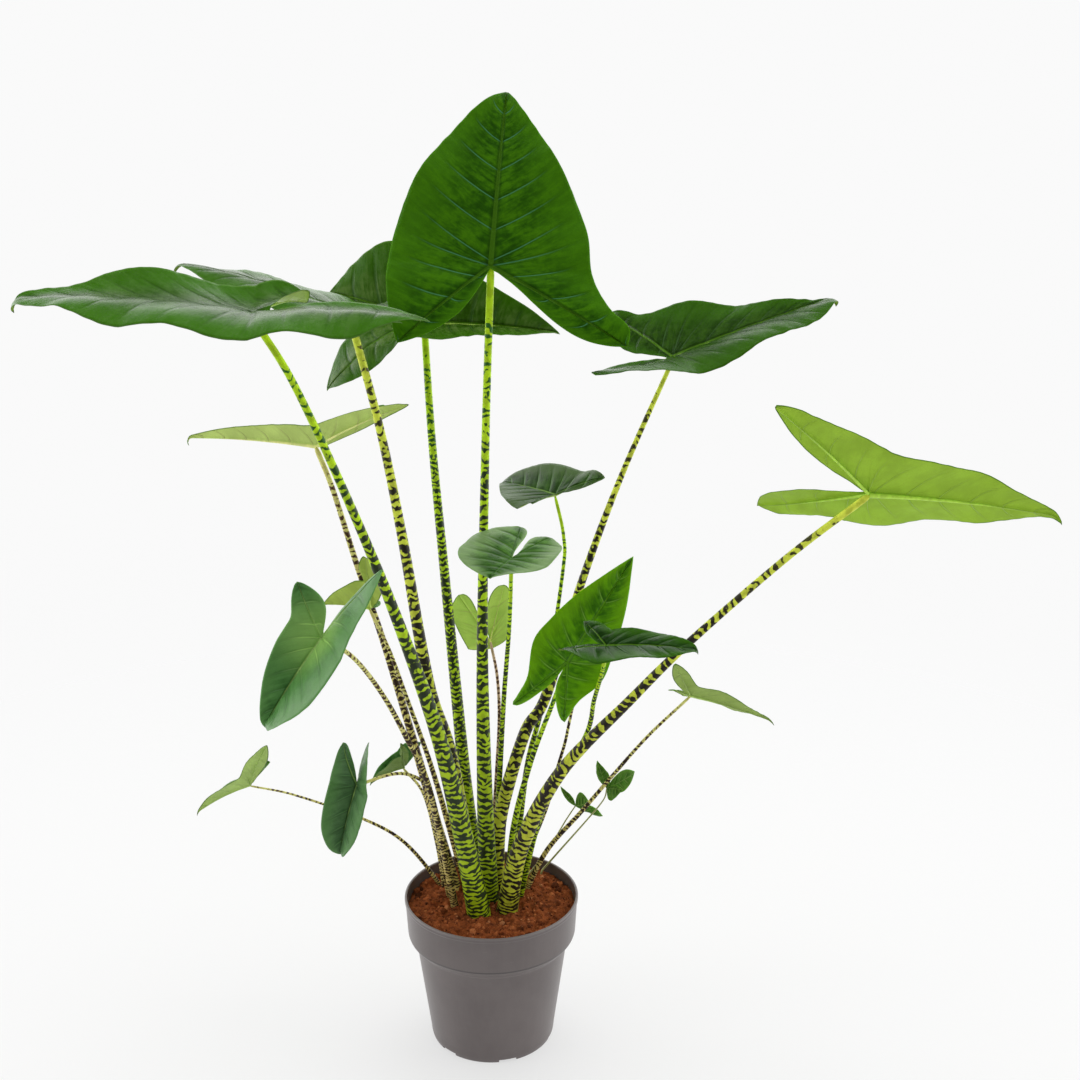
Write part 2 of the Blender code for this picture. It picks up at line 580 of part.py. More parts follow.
def thin_solid(name, top, faces, colour):
    """A closed solid of even thickness under an upper surface of triangles."""
    normals = [Vector() for _ in top]
    for a, b, c in faces:
        normal = (top[b] - top[a]).cross(top[c] - top[a])
        for corner in (a, b, c):
            normals[corner] += normal
    below = [place - normal.normalized() * BLADE_THICKNESS * MM
             for place, normal in zip(top, normals)]
    count = len(top)
    edges = {(a, b) for t in faces for a, b in zip(t, t[1:] + t[:1])}
    rim = [(a, b) for a, b in edges if (b, a) not in edges]
    solid = faces + [tuple(k + count for k in reversed(t)) for t in faces]
    for a, b in sorted(rim):
        solid += [(b, a, a + count), (b, a + count, b + count)]
    return add_object(name, top + below, solid, colour, 0.4, 60.0)


def make_blade(name, leaf):
    """One blade as a thin closed solid, its two faces split into triangles alike."""
    blade = Blade(leaf)
    big = blade.length > 0.15
    front, lobe_rows = (7, 5) if big else (5, 3)
    rows = stations_of(front, 2, lobe_rows)
    columns, inner_columns = (4, 2) if big else (3, 1)
    first_joint_row = front
    joint_rows = {k for k, s in enumerate(rows)
                  if Blade.MIDRIB_STATION - 1e-6 <= s <= Blade.LOBE_STATION + 1e-6}
    last_joint_row = max(joint_rows)
    keys, top = {}, []

    def vertex(key, place):
        if key not in keys:
            keys[key] = len(top)
            top.append(place)
        return keys[key]

    faces = []
    for side, half in enumerate(blade.halves):
        def outer(i, j):
            if i == 0:
                key = "tip"
            elif i == len(rows) - 1:
                key = ("lobe", side)
            elif j == 0 and i < first_joint_row:
                key = ("midrib", i)
            elif j == 0 and i in joint_rows:
                key = "joint"
            else:
                key = (side, i, j)
            return vertex(key, blade.place(half, rows[i], j / columns))

        def inner(i, j):
            if i == len(rows) - 1:
                key = ("lobe", side)
            elif j == 0:
                return outer(i, 0)
            elif i == last_joint_row:
                key = ("web", j)
            else:
                key = ("inner", side, i, j)
            return vertex(key, blade.place(half, rows[i], j / inner_columns, inner=True))

        quads = [(outer(i, j), outer(i, j + 1), outer(i + 1, j + 1), outer(i + 1, j))
                 for i in range(len(rows) - 1) for j in range(columns)]
        quads += [(inner(i, j), inner(i + 1, j), inner(i + 1, j + 1), inner(i, j + 1))
                  for i in range(last_joint_row, len(rows) - 1)
                  for j in range(inner_columns)]
        for a, b, c, d in quads:
            for triangle in ((a, b, c), (a, c, d)):
                if len(set(triangle)) == 3:
                    faces.append(triangle if half["turn"] == 1 else triangle[::-1])

    return thin_solid(name, top, faces, BLADE_COLOURS[leaf["blade"]])


def tube_rings(path, radii, sides, swell=0.0):
    """Rings of places round a path, without twist."""
    rings, side = [], Vector((1.0, 0.0, 0.0))
    for k, centre in enumerate(path):
        along = (path[min(k + 1, len(path) - 1)] - path[max(k - 1, 0)]).normalized()
        side = (side - along * side.dot(along)).normalized()
        other = along.cross(side)
        radius = radii[k] + swell
        rings.append([centre + radius * (math.cos(2 * math.pi * m / sides) * side
                                         + math.sin(2 * math.pi * m / sides) * other)
                      for m in range(sides)])
    return rings


def tube_mesh(rings):
    sides = len(rings[0])
    vertices = [place for ring in rings for place in ring]
    faces = []
    for k in range(len(rings) - 1):
        for m in range(sides):
            n = (m + 1) % sides
            a, b = k * sides + m, k * sides + n
            c, d = a + sides, b + sides
            faces += [(a, b, d), (a, d, c)]
    for ring, turn in ((0, -1), (len(rings) - 1, 1)):
        centre = len(vertices)
        vertices.append(sum(rings[ring], Vector()) / sides)
        for m in range(sides):
            triangle = (centre, ring * sides + m, ring * sides + (m + 1) % sides)
            faces.append(triangle[::turn])
    return vertices, faces


def stalk_radius(leaf, share):
    """A stalk tapers fast above its sheath at the foot, then slowly."""
    foot, top = leaf["radii"]
    return (top + (foot - top) * (1 - share) ** leaf.get("taper", 1.35)) * MM


def stalk_path(leaf, end, extra=0.0):
    points = [millimetres(p) for p in leaf["path"]]
    lead = ((points[0] - points[1]).normalized() - Vector((0.0, 0.0, 1.6))).normalized()
    foot = points[0] + lead * (STALK_DEPTH * MM / max(0.4, -lead.z) + extra)
    return smooth_path([foot, *points, end], STALK_RINGS)


def stalk_rings(leaf, end, swell=0.0, extra=0.0):
    path = stalk_path(leaf, end, extra)
    radii = [stalk_radius(leaf, k / STALK_RINGS) for k in range(len(path))]
    return tube_rings(path, radii, STALK_SIDES, swell)


def stalk_end(leaf, blade, blade_object):
    """Where a stalk stops, so that its top lies just clear under its own blade."""
    mesh = blade_object.data
    tree = BVHTree.FromPolygons([v.co for v in mesh.vertices],
                                [tuple(p.vertices) for p in mesh.polygons])
    target = blade.joint + blade.ahead * leaf["radii"][1] * MM
    approach = (target - millimetres(leaf["path"][-1])).normalized()
    away = (-blade.up - approach * 0.6).normalized()
    for step in range(3, 80):
        end = target + away * step * 0.25 * MM
        rings = stalk_rings(leaf, end)
        nearest = min(tree.find_nearest(p)[3] for ring in rings[-3:] for p in ring)
        if nearest > CLEARANCE * MM:
            if not tree.overlap(BVHTree.FromPolygons(*tube_mesh(rings))):
                break
    return end


def make_stalk(name, leaf, end):
    vertices, faces = tube_mesh(stalk_rings(leaf, end))
    return add_object(name, vertices, faces, STALK_COLOURS[leaf["stalk"]], 0.45, 60.0)


def stalk_socket(leaf, end):
    """A bar a little fatter than the stalk's foot, which leaves its hole in the soil."""
    rings = stalk_rings(leaf, end, swell=(CLEARANCE + 0.1) * MM)
    drop = (rings[0][0] - rings[1][0]).normalized() * CLEARANCE * 2 * MM
    rings[0] = [place + drop for place in rings[0]]
    tall = next(k for k, ring in enumerate(rings) if min(p.z for p in ring) > SOCKET_TOP_HEIGHT * MM)
    vertices, faces = tube_mesh(rings[:tall + 1])
    return add_object("socket", vertices, faces, SOIL_COLOUR, 0.95)


def make_leaflet(name, base, tip, left, right):
    """One pointed oval leaflet, a little folded along its middle, as a thin solid."""
    base = base - (tip - base).normalized() * LEAFLET_ROOT * MM
    middle = base.lerp(tip, 0.5)
    ahead = tip - base
    up = ahead.cross(left - right).normalized()
    top, faces = [], []
    for t in LEAFLET_ROWS:
        arch = 0.22 * t * (1 - t) - 0.10 * max(0.0, (t - 0.8) / 0.2) ** 2
        centre = base.lerp(tip, t) + up * (ahead.length * arch)
        width = max(LEAFLET_END_SHARE, math.sin(math.pi * t ** 0.9) ** 0.85)
        top += [centre, centre + (left - middle) * width, centre + (right - middle) * width]
    for a in range(0, 3 * len(LEAFLET_ROWS) - 3, 3):
        b = a + 3
        faces += [(a, b, b + 1), (a, b + 1, a + 1), (a, a + 2, b + 2), (a, b + 2, b)]
    return thin_solid(name, top, faces, BLADE_COLOURS["rich"])


def make_seedling(name, plant):
    """A thin stem and its leaflets, joined into one body."""
    foot, *path = [millimetres(p) for p in plant["path"]]
    path = smooth_path([foot - Vector((0, 0, STALK_DEPTH * MM)), foot, *path], STEM_RINGS)
    radii = [(STEM_RADII[0] + (STEM_RADII[1] - STEM_RADII[0]) * k / STEM_RINGS) * MM
             for k in range(len(path))]
    rings = tube_rings(path, radii, 6)
    seedling = add_object(name, *tube_mesh(rings), BLADE_COLOURS["rich"], 0.5)
    joint = path[-1] - (path[-1] - path[-2]).normalized() * 1.2 * MM
    parts = [make_leaflet(name + "_leaflet", joint, *[millimetres(p) for p in places])
             for places in plant["leaflets"]]
    for leaflet in parts:
        step = seedling.modifiers.new("join", "BOOLEAN")
        step.solver = "MANIFOLD"
        step.operation = "UNION"
        step.object = leaflet
    settle(seedling)
    for leaflet in parts:
        bpy.data.objects.remove(leaflet)
    swollen = tube_rings(path, [r + (CLEARANCE + 0.1) * MM for r in radii], 6)
    swollen[0] = [p - Vector((0, 0, 2 * CLEARANCE * MM)) for p in swollen[0]]
    tall = next(k for k, ring in enumerate(swollen) if min(p.z for p in ring) > SOCKET_TOP_HEIGHT * MM)
    return add_object("socket", *tube_mesh(swollen[:tall + 1]), SOIL_COLOUR, 0.95)


def main():
    for old in list(bpy.data.objects):
        bpy.data.objects.remove(old, do_unlink=True)
    make_pot()
    soil = make_soil()
    sockets = []
    for name, plant in SEEDLINGS.items():
        sockets.append(make_seedling(name, plant))
    for name, leaf in LEAVES.items():
        blade_object = make_blade(name + "_blade", leaf)
        end = stalk_end(leaf, Blade(leaf), blade_object)
        make_stalk(name + "_stalk", leaf, end)
        sockets.append(stalk_socket(leaf, end))
    cut(soil, sockets)


main()
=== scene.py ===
"""Looks of a potted arrow-leaved house plant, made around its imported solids.

Everything is in metres in the solids' own frame: the origin is the middle of the
pot's foot on the floor, +Z is up, and -Y is the side that faces the viewer.
"""
import math

import bpy
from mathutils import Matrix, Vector, noise


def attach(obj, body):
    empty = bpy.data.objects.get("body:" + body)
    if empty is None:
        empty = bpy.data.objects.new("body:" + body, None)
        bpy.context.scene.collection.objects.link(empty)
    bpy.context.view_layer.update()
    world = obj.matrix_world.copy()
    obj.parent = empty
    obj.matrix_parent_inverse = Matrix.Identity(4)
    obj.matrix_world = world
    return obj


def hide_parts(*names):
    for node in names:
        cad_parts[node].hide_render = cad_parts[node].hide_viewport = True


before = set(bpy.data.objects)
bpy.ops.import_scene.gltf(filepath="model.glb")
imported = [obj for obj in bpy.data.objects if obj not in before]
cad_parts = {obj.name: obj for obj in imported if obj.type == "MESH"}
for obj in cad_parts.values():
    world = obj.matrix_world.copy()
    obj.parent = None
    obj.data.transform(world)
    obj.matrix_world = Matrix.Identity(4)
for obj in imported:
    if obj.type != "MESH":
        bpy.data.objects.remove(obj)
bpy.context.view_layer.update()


# Camera
# It stands at the height of the plant's top, 1.6 m in front of the pot, and looks down
# a little through a normal lens.
lens = bpy.data.cameras.new("camera")
lens.sensor_width = 36.0
lens.lens = 50.6
lens.clip_end = 50.0
camera = bpy.data.objects.new("camera", lens)
camera.location = (0.0588, -1.638, 1.133)
camera.rotation_euler = (math.radians(73.1), 0.0, 0.0)
bpy.context.collection.objects.link(camera)
bpy.context.scene.camera = camera


# Light and floor
# A white studio: pale all round, brightest behind and above the plant, with one large
# soft lamp overhead, one on each side, and a plain pale floor that fades into the wall.
class Shade:
    """One socket of a node tree. Sums and products of sockets add Math nodes."""

    def __init__(self, tree, socket=None):
        self.tree = tree
        self.socket = socket

    def node(self, kind, settings=None, inputs=None, output=0):
        """A new node: its settings first, then the values or links of its sockets."""
        made = self.tree.nodes.new(kind)
        for name, value in (settings or {}).items():
            if name == "stops":
                stops = made.color_ramp.elements
                while len(stops) < len(value):
                    stops.new(1.0)
                for stop, (place, colour) in zip(stops, value):
                    stop.position = place
                    stop.color = (*colour, 1.0)
            else:
                setattr(made, name, value)
        for name, value in (inputs or {}).items():
            if isinstance(value, Shade):
                self.tree.links.new(value.socket, made.inputs[name])
            else:
                made.inputs[name].default_value = value
        return Shade(self.tree, made.outputs[output])

    def beside(self, output):
        """Another output of the node that this socket is on."""
        return Shade(self.tree, self.socket.node.outputs[output])

    def math(self, operation, *values):
        """A Math node on values or sockets."""
        return self.node("ShaderNodeMath", {"operation": operation}, dict(enumerate(values)))

    def __add__(self, other):
        return self.math("ADD", self, other)

    def __sub__(self, other):
        return self.math("SUBTRACT", self, other)

    def __rsub__(self, other):
        return self.math("SUBTRACT", other, self)

    def __mul__(self, other):
        return self.math("MULTIPLY", self, other)

    __radd__ = __add__
    __rmul__ = __mul__

    def between(self, low, high):
        """0 at low and 1 at high, smooth between them. High may be the smaller."""
        return self.node("ShaderNodeMapRange", {"interpolation_type": "SMOOTHSTEP"},
                         {"Value": self, "From Min": low, "From Max": high})

    def mix(self, factor, first, second):
        """The first colour at factor 0 and the second at 1."""
        return self.node("ShaderNodeMix", {"data_type": "RGBA"}, {0: factor, 6: first, 7: second},
                         output=2)

    def axis(self, vector, label):
        """One number of a vector. The others are beside it."""
        return self.node("ShaderNodeSeparateXYZ", None, {"Vector": vector}, output=label)

    def attribute(self, label, output="Fac"):
        """What the mesh says under a label at each place."""
        return self.node("ShaderNodeAttribute", {"attribute_name": label}, None, output=output)

    def bump(self, strength, distance, height):
        """The surface's normal, dented by a height."""
        return self.node("ShaderNodeBump", None, {
            "Strength": strength, "Distance": distance, "Height": height}, output="Normal")

    def noise(self, place, scale, detail=3.0, roughness=0.5, distortion=0.0):
        """Soft clouds between 0 and 1, as many to the unit as the scale says."""
        return self.node("ShaderNodeTexNoise", None,
                         {"Vector": place, "Scale": scale, "Detail": detail,
                          "Roughness": roughness, "Distortion": distortion})

    def stretched(self, place, stretch):
        """A place with its axes multiplied."""
        return self.node("ShaderNodeVectorMath", {"operation": "MULTIPLY"},
                         {0: place, 1: stretch})


WHITE = (1.0, 1.0, 1.0, 1.0)
WALL_WHITE = (0.955, 0.955, 0.955, 1.0)
world = bpy.data.worlds.new("studio")
world.use_nodes = True
world.node_tree.nodes.clear()
studio = Shade(world.node_tree)

# What lights the plant is brightest from behind and above, apart from the part low
# behind it. What its leaves mirror is dim, but for the back and the sides, and the
# camera sees an even pale wall.
direction = studio.node("ShaderNodeTexCoord", output="Generated")
backward = studio.axis(direction, "Y")
upward = backward.beside("Z")
behind = backward.between(0.78, 0.96) * upward.between(0.60, 0.25)
glow = backward.between(-0.4, 0.7) * (1.0 - 0.85 * behind)
glow = 0.46 + 0.75 * glow + 0.20 * upward.between(0.0, 0.9)
mirrored = 0.10 + 1.5 * backward.between(-0.1, 0.4) * upward.between(0.75, 0.35)
aside = backward.beside("X")
mirrored = mirrored + 2.6 * aside.math("ABSOLUTE", aside).between(0.6, 0.9)
lit = studio.node("ShaderNodeBackground", None, {"Color": WHITE, "Strength": glow})
shiny = studio.node("ShaderNodeBackground", None, {"Color": WHITE, "Strength": mirrored})
seen = studio.node("ShaderNodeBackground", None, {"Color": WALL_WHITE, "Strength": 1.0})
looking = studio.node("ShaderNodeLightPath", output="Is Camera Ray")
unseen = studio.node("ShaderNodeMixShader", None, {
    0: looking.beside("Is Glossy Ray"), 1: lit, 2: shiny})
around = studio.node("ShaderNodeMixShader", None, {0: looking, 1: unseen, 2: seen})
world_end = world.node_tree.nodes.new("ShaderNodeOutputWorld")
world.node_tree.links.new(around.socket, world_end.inputs["Surface"])
bpy.context.scene.world = world
bpy.context.scene.view_settings.view_transform = "Standard"


def add_lamp(name, place, target, size, power):
    """A large square lamp that faces a target and isn't mirrored in the leaves."""
    lamp = bpy.data.lights.new(name, "AREA")
    lamp.shape = "SQUARE"
    lamp.size = size
    lamp.energy = power
    made = bpy.data.objects.new(name, lamp)
    made.location = place
    made.rotation_euler = (Vector(target) - Vector(place)).to_track_quat("-Z", "Y").to_euler()
    made.visible_glossy = False
    bpy.context.collection.objects.link(made)


add_lamp("lamp_above", (0.2, 0.9, 3.2), (0.0, 0.0, 0.6), 2.0, 30.0)
add_lamp("lamp_left", (-2.6, -0.6, 1.4), (0.0, 0.0, 0.7), 1.4, 12.0)
add_lamp("lamp_right", (2.6, -0.4, 1.2), (0.0, 0.0, 0.6), 1.4, 12.0)


def link_object(name, mesh, material):
    """A piece's object at the origin, shaded smooth."""
    mesh.shade_smooth()
    mesh.materials.append(material)
    made = bpy.data.objects.new(name, mesh)
    bpy.context.collection.objects.link(made)
    return made


def new_material(name):
    """An empty material and the start of its node tree."""
    material = bpy.data.materials.new(name)
    material.use_nodes = True
    material.node_tree.nodes.clear()
    return material, Shade(material.node_tree)


def end_material(material, shader):
    """Link a material's last shader to its surface."""
    end = material.node_tree.nodes.new("ShaderNodeOutputMaterial")
    material.node_tree.links.new(shader.socket, end.inputs["Surface"])


FLOOR_RADIUS = 3.0
PAPER_GREY = (0.30, 0.30, 0.30, 1.0)
floor_white, sheet = new_material("floor_white")
ground = sheet.node("ShaderNodeTexCoord", output="Object")
reach = sheet.node("ShaderNodeVectorMath", {"operation": "LENGTH"}, {0: ground}, output="Value")
paper = sheet.node("ShaderNodeBsdfDiffuse", None, {"Color": PAPER_GREY})
glowing = sheet.node("ShaderNodeEmission", None, {"Color": WHITE, "Strength": 0.60})
paper = sheet.node("ShaderNodeAddShader", None, {0: paper, 1: glowing})
clear = sheet.node("ShaderNodeBsdfTransparent", None, {"Color": WHITE})
end_material(floor_white, sheet.node("ShaderNodeMixShader", None, {
    0: reach.between(0.5, 2.4), 1: paper, 2: clear}))
corners = []
for turn in range(0, 360, 5):
    angle = math.radians(turn)
    corners.append((FLOOR_RADIUS * math.cos(angle), FLOOR_RADIUS * math.sin(angle), 0.0))
floor_mesh = bpy.data.meshes.new("floor")
floor_mesh.from_pydata(corners, [], [tuple(range(len(corners)))])
link_object("floor", floor_mesh, floor_white)


# Pot
# A thin round nursery pot, moulded in one piece of taupe plastic, with a tall rim
# band over a sloping shoulder, a foot ring with six low slots and six drain holes.
# The sizes are in millimetres.
MM = 0.001
POT_HEIGHT = 188.0
RIM_RADIUS = 105.0
BAND_FOOT_HEIGHT = 140.5
BAND_FOOT_RADIUS = 101.5
SHOULDER_FOOT_HEIGHT = 130.0
SHOULDER_FOOT_RADIUS = 92.0
FOOT_RADIUS = 76.0
FOOT_RING_INNER_RADIUS = 61.0
WALL = 1.8
FLOOR_UNDERSIDE = 4.0
FLOOR_TOP = 6.5
PAD_RADIUS = 20.0
FIRST_NOTCH_ANGLE = -74.0
NOTCH_CIRCLE = 69.0
NOTCH_SIZE = (30.0, 22.0, 9.0)
DRAIN_CIRCLE = 42.0
DRAIN_RADIUS = 5.0
DRAIN_CUT = 20.0
CREASE_SHARPNESS = 32.0
POT_SIDES = 176
FILLET_STEPS = 4


def rounded(profile):
    """The outline of a turned piece with each corner rounded to its own radius."""
    outline = [profile[0][:2]]
    for before, corner, after in zip(profile, profile[1:], profile[2:]):
        here = Vector(corner[:2])
        back = (Vector(before[:2]) - here)
        ahead = (Vector(after[:2]) - here)
        cut_back = min(corner[2], back.length * 0.45, ahead.length * 0.45)
        start = here + back.normalized() * cut_back
        stop = here + ahead.normalized() * cut_back
        for step in range(FILLET_STEPS + 1):
            t = step / FILLET_STEPS
            outline.append(tuple(start.lerp(here, t).lerp(here.lerp(stop, t), t)))
    outline.append(profile[-1][:2])
    return outline


def on_circle(radius, angle, height):
    """A place round the pot's middle, in metres, from sizes in millimetres."""
    return (radius * MM * math.cos(angle), radius * MM * math.sin(angle), height * MM)


def turned_mesh(name, outline, sides):
    """A closed round body from its outline of radii and heights in millimetres."""
    vertices, rings = [], []
    for radius, height in outline:
        if radius < 0.5:
            rings.append([len(vertices)] * sides)
            vertices.append((0.0, 0.0, height * MM))
            continue
        rings.append(list(range(len(vertices), len(vertices) + sides)))
        for k in range(sides):
            vertices.append(on_circle(radius, 2 * math.pi * k / sides, height))
    faces = []
    for lower, upper in zip(rings, rings[1:]):
        for k in range(sides):
            m = (k + 1) % sides
            face = [lower[k], lower[m], upper[m], upper[k]]
            face = [corner for place, corner in enumerate(face) if corner not in face[:place]]
            faces.append(face)
    mesh = bpy.data.meshes.new(name)
    mesh.from_pydata(vertices, [], faces)
    return mesh


# Radius, height and rounding of each corner, from the middle of the pad round to that
# of the floor's top.
POT_PROFILE = [
    (0.0, 0.0, 0.0), (PAD_RADIUS, 0.0, 0.6), (PAD_RADIUS + 2, FLOOR_UNDERSIDE, 1.0),
    (FOOT_RING_INNER_RADIUS - 2, FLOOR_UNDERSIDE, 1.0), (FOOT_RING_INNER_RADIUS, 0.0, 0.6),
    (FOOT_RADIUS - 2.4, 0.0, 2.2), (FOOT_RADIUS - 0.5, 6.0, 5.0), (FOOT_RADIUS + 0.1, 13.0, 5.0),
    (SHOULDER_FOOT_RADIUS - 0.2, SHOULDER_FOOT_HEIGHT - 1, 2.6),
    (BAND_FOOT_RADIUS - 1.1, BAND_FOOT_HEIGHT - 2.4, 1.6),
    (BAND_FOOT_RADIUS + 0.2, BAND_FOOT_HEIGHT + 1.4, 1.4),
    (RIM_RADIUS - 1.0, POT_HEIGHT - 6.2, 1.2), (RIM_RADIUS, POT_HEIGHT - 4.8, 0.9),
    (RIM_RADIUS, POT_HEIGHT, 1.5), (RIM_RADIUS - 3.0, POT_HEIGHT, 1.3),
    (RIM_RADIUS - WALL - 1.0, POT_HEIGHT - 3.5, 1.0),
    (BAND_FOOT_RADIUS - WALL, BAND_FOOT_HEIGHT, 2.0),
    (SHOULDER_FOOT_RADIUS - WALL, SHOULDER_FOOT_HEIGHT, 2.0),
    (FOOT_RADIUS - WALL, 16.0, 4.0), (FOOT_RADIUS - WALL - 2.5, FLOOR_TOP, 2.0),
    (0.0, FLOOR_TOP, 0.0),
]


def cut_pot(pot):
    """Take the foot's slots and the drain holes out of the pot."""
    cutters = []
    for turn in range(0, 360, 60):
        angle = math.radians(FIRST_NOTCH_ANGLE + turn)
        bpy.ops.mesh.primitive_cube_add(
            size=1.0, location=on_circle(NOTCH_CIRCLE, angle, 0.0), rotation=(0.0, 0.0, angle),
            scale=[side * MM for side in NOTCH_SIZE])
        cutters.append(bpy.context.object)
        bpy.ops.mesh.primitive_cylinder_add(
            vertices=32, radius=DRAIN_RADIUS * MM, depth=DRAIN_CUT * MM,
            location=on_circle(DRAIN_CIRCLE, angle + math.radians(30), FLOOR_TOP))
        cutters.append(bpy.context.object)
    for cutter in cutters:
        step = pot.modifiers.new("cut", "BOOLEAN")
        step.operation = "DIFFERENCE"
        step.object = cutter
    depsgraph = bpy.context.evaluated_depsgraph_get()
    mesh = bpy.data.meshes.new_from_object(pot.evaluated_get(depsgraph))
    pot.modifiers.clear()
    pot.data = mesh
    mesh.name = pot.name
    mesh.shade_smooth()
    mesh.set_sharp_from_angle(angle=math.radians(CREASE_SHARPNESS))
    for cutter in cutters:
        bpy.data.objects.remove(cutter)


def opaque(colour, factor=1.0):
    """A colour as a socket takes it, made lighter or darker by a factor."""
    return (*[min(1.0, v * factor) for v in colour], 1.0)


# Cloudy taupe, with faint flow marks, dust on the lower part, painted shade in the crease
# at the shoulder's edge, and a lip painted pale, partly as wear and partly as a highlight.
pot_plastic, plastic = new_material("pot_plastic")
place = plastic.node("ShaderNodeTexCoord", output="Object")
clouds = plastic.noise(place, 14.0, 4.0, 0.6)
streaks = plastic.noise(plastic.stretched(place, (1.0, 1.0, 0.06)), 160.0, 3.0, 0.6)
dust = plastic.noise(place, 900.0, 2.0, 0.6).between(0.62, 0.78)
height = plastic.axis(place, "Z")
scuffs = plastic.noise(plastic.stretched(place, (1.0, 1.0, 3.0)), 90.0, 5.0, 0.7, 0.6)
scuffs = scuffs.between(0.62, 0.74)
# Painted shade: a thin dark band at the band's foot, where the crease lies in shadow.
painted_crease_shade = height.between(0.1388, 0.1402) * height.between(0.1426, 0.1410)
colour = plastic.mix(clouds.between(0.35, 0.65), opaque((0.118, 0.098, 0.096)),
                     opaque((0.138, 0.116, 0.113)))
for amount, tint in ((0.10 * streaks.between(0.4, 0.7), (0.175, 0.150, 0.146)),
                     (0.30 * scuffs, (0.22, 0.19, 0.18)),
                     (0.30 * dust * height.between(0.16, 0.0), (0.24, 0.19, 0.15)),
                     # painted shade in the crease at the band's foot
                     (0.75 * painted_crease_shade, (0.030, 0.024, 0.024)),
                     # painted highlight along the lip, partly wear as well
                     (0.35 * height.between(0.1845, 0.1875), (0.28, 0.25, 0.25))):
    colour = plastic.mix(amount, colour, opaque(tint))
grain = 0.9 * plastic.noise(place, 700.0, 3.0, 0.6) + 0.1 * streaks
end_material(pot_plastic, plastic.node("ShaderNodeBsdfPrincipled", None, {
    "Base Color": colour, "Roughness": 0.30 + 0.10 * clouds + 0.12 * scuffs,
    "Normal": plastic.bump(0.25, 0.0004, grain), "IOR": 1.50}))

pot = link_object("pot_shell", turned_mesh("pot_shell", rounded(POT_PROFILE), POT_SIDES),
                  pot_plastic)
cut_pot(pot)
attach(pot, "root")
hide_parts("pot")


# Soil
# Reddish-brown coconut fibre, filled to a finger below the rim and crumbly on top,
# with loose crumbs and short fibres that lie on it.
# The sizes are in millimetres.
SOIL_HEIGHT = 174.0
SOIL_MOUND = 4.0
SOIL_RADIUS = 101.6
SOIL_SIDES = 200
SOIL_RINGS = 96


def soil_surface(x, y):
    """Height of the soil in millimetres at a place: a low mound of clods and grit."""
    reach = math.hypot(x, y) / SOIL_RADIUS
    lump = noise.noise(Vector((x, y, 3.0)) * 0.045) + 0.6 * noise.noise(Vector((x, y, 9.0)) * 0.11)
    clod = noise.fractal(Vector((x, y, 5.0)) * 0.16, 0.9, 2.1, 4)
    grit = noise.cell(Vector((x, y, 1.0)) * 0.42)
    edge = 1.6 * max(0.0, (reach - 0.93) / 0.07) ** 2
    return (SOIL_HEIGHT + SOIL_MOUND * (1 - reach * reach) + 3.2 * lump + 3.0 * clod + 0.6 * grit
            - edge)


# The bed's side stays a little inside the pot's wall.
soil_outline = [(0.0, 7.2), (70.0, 7.2), (73.0, 17.0), (89.2, SHOULDER_FOOT_HEIGHT),
                (98.6, BAND_FOOT_HEIGHT)]
soil_mesh = turned_mesh("soil_side", soil_outline, SOIL_SIDES)
vertices = [tuple(v.co) for v in soil_mesh.vertices]
faces = [tuple(p.vertices) for p in soil_mesh.polygons]
below = list(range(len(vertices) - SOIL_SIDES, len(vertices)))
for ring in range(SOIL_RINGS):
    radius = SOIL_RADIUS * (1 - ring / SOIL_RINGS)
    here = list(range(len(vertices), len(vertices) + SOIL_SIDES))
    for k in range(SOIL_SIDES):
        angle = 2 * math.pi * k / SOIL_SIDES
        x, y = radius * math.cos(angle), radius * math.sin(angle)
        vertices.append((x * MM, y * MM, soil_surface(x, y) * MM))
    faces += [(below[k - 1], below[k], here[k], here[k - 1]) for k in range(SOIL_SIDES)]
    below = here
vertices.append((0.0, 0.0, soil_surface(0.0, 0.0) * MM))
faces += [(below[k - 1], below[k], len(vertices) - 1) for k in range(SOIL_SIDES)]
soil_mesh = bpy.data.meshes.new("soil_bed")
soil_mesh.from_pydata(vertices, [], faces)


def soil_finish(name, by_piece):
    """Reddish-brown fibre, speckled, or with one shade for each crumb."""
    material, earth = new_material(name)
    place = earth.node("ShaderNodeTexCoord", output="Object")
    coarse = earth.noise(place, 120.0, 4.0, 0.6)
    fine = earth.noise(place, 700.0, 4.0, 0.7)
    if by_piece:
        tone = 0.18 + 0.55 * earth.attribute("tone") + 0.25 * fine
    else:
        tone = 0.65 * coarse + 0.40 * fine
    colour = tone.node("ShaderNodeValToRGB", {"stops": [
        (0.25, (0.045, 0.012, 0.005)), (0.45, (0.150, 0.038, 0.011)), (0.60, (0.310, 0.080, 0.022)),
        (0.82, (0.460, 0.150, 0.050)), (0.97, (0.580, 0.360, 0.200))]}, {"Fac": tone})
    end_material(material, earth.node("ShaderNodeBsdfPrincipled", None, {
        "Base Color": colour, "Roughness": 0.95, "Normal": earth.bump(0.8, 0.0008, fine),
        "Specular IOR Level": 0.15}))
    return material


soil_bed = link_object("soil_bed", soil_mesh, soil_finish("soil_bed_finish", False))
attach(soil_bed, "root")
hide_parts("soil")


def new_tree(name, sizes):
    """A geometry tree with named inputs, and the geometry that enters it."""
    tree = bpy.data.node_groups.new(name, "GeometryNodeTree")
    sockets = {"Geometry": "NodeSocketGeometry", **sizes}
    for label, kind in sockets.items():
        tree.interface.new_socket(label, in_out="INPUT", socket_type=kind)
    tree.interface.new_socket("Geometry", in_out="OUTPUT", socket_type="NodeSocketGeometry")
    entry = Shade(tree).node("NodeGroupInput", output="Geometry")
    return tree, entry


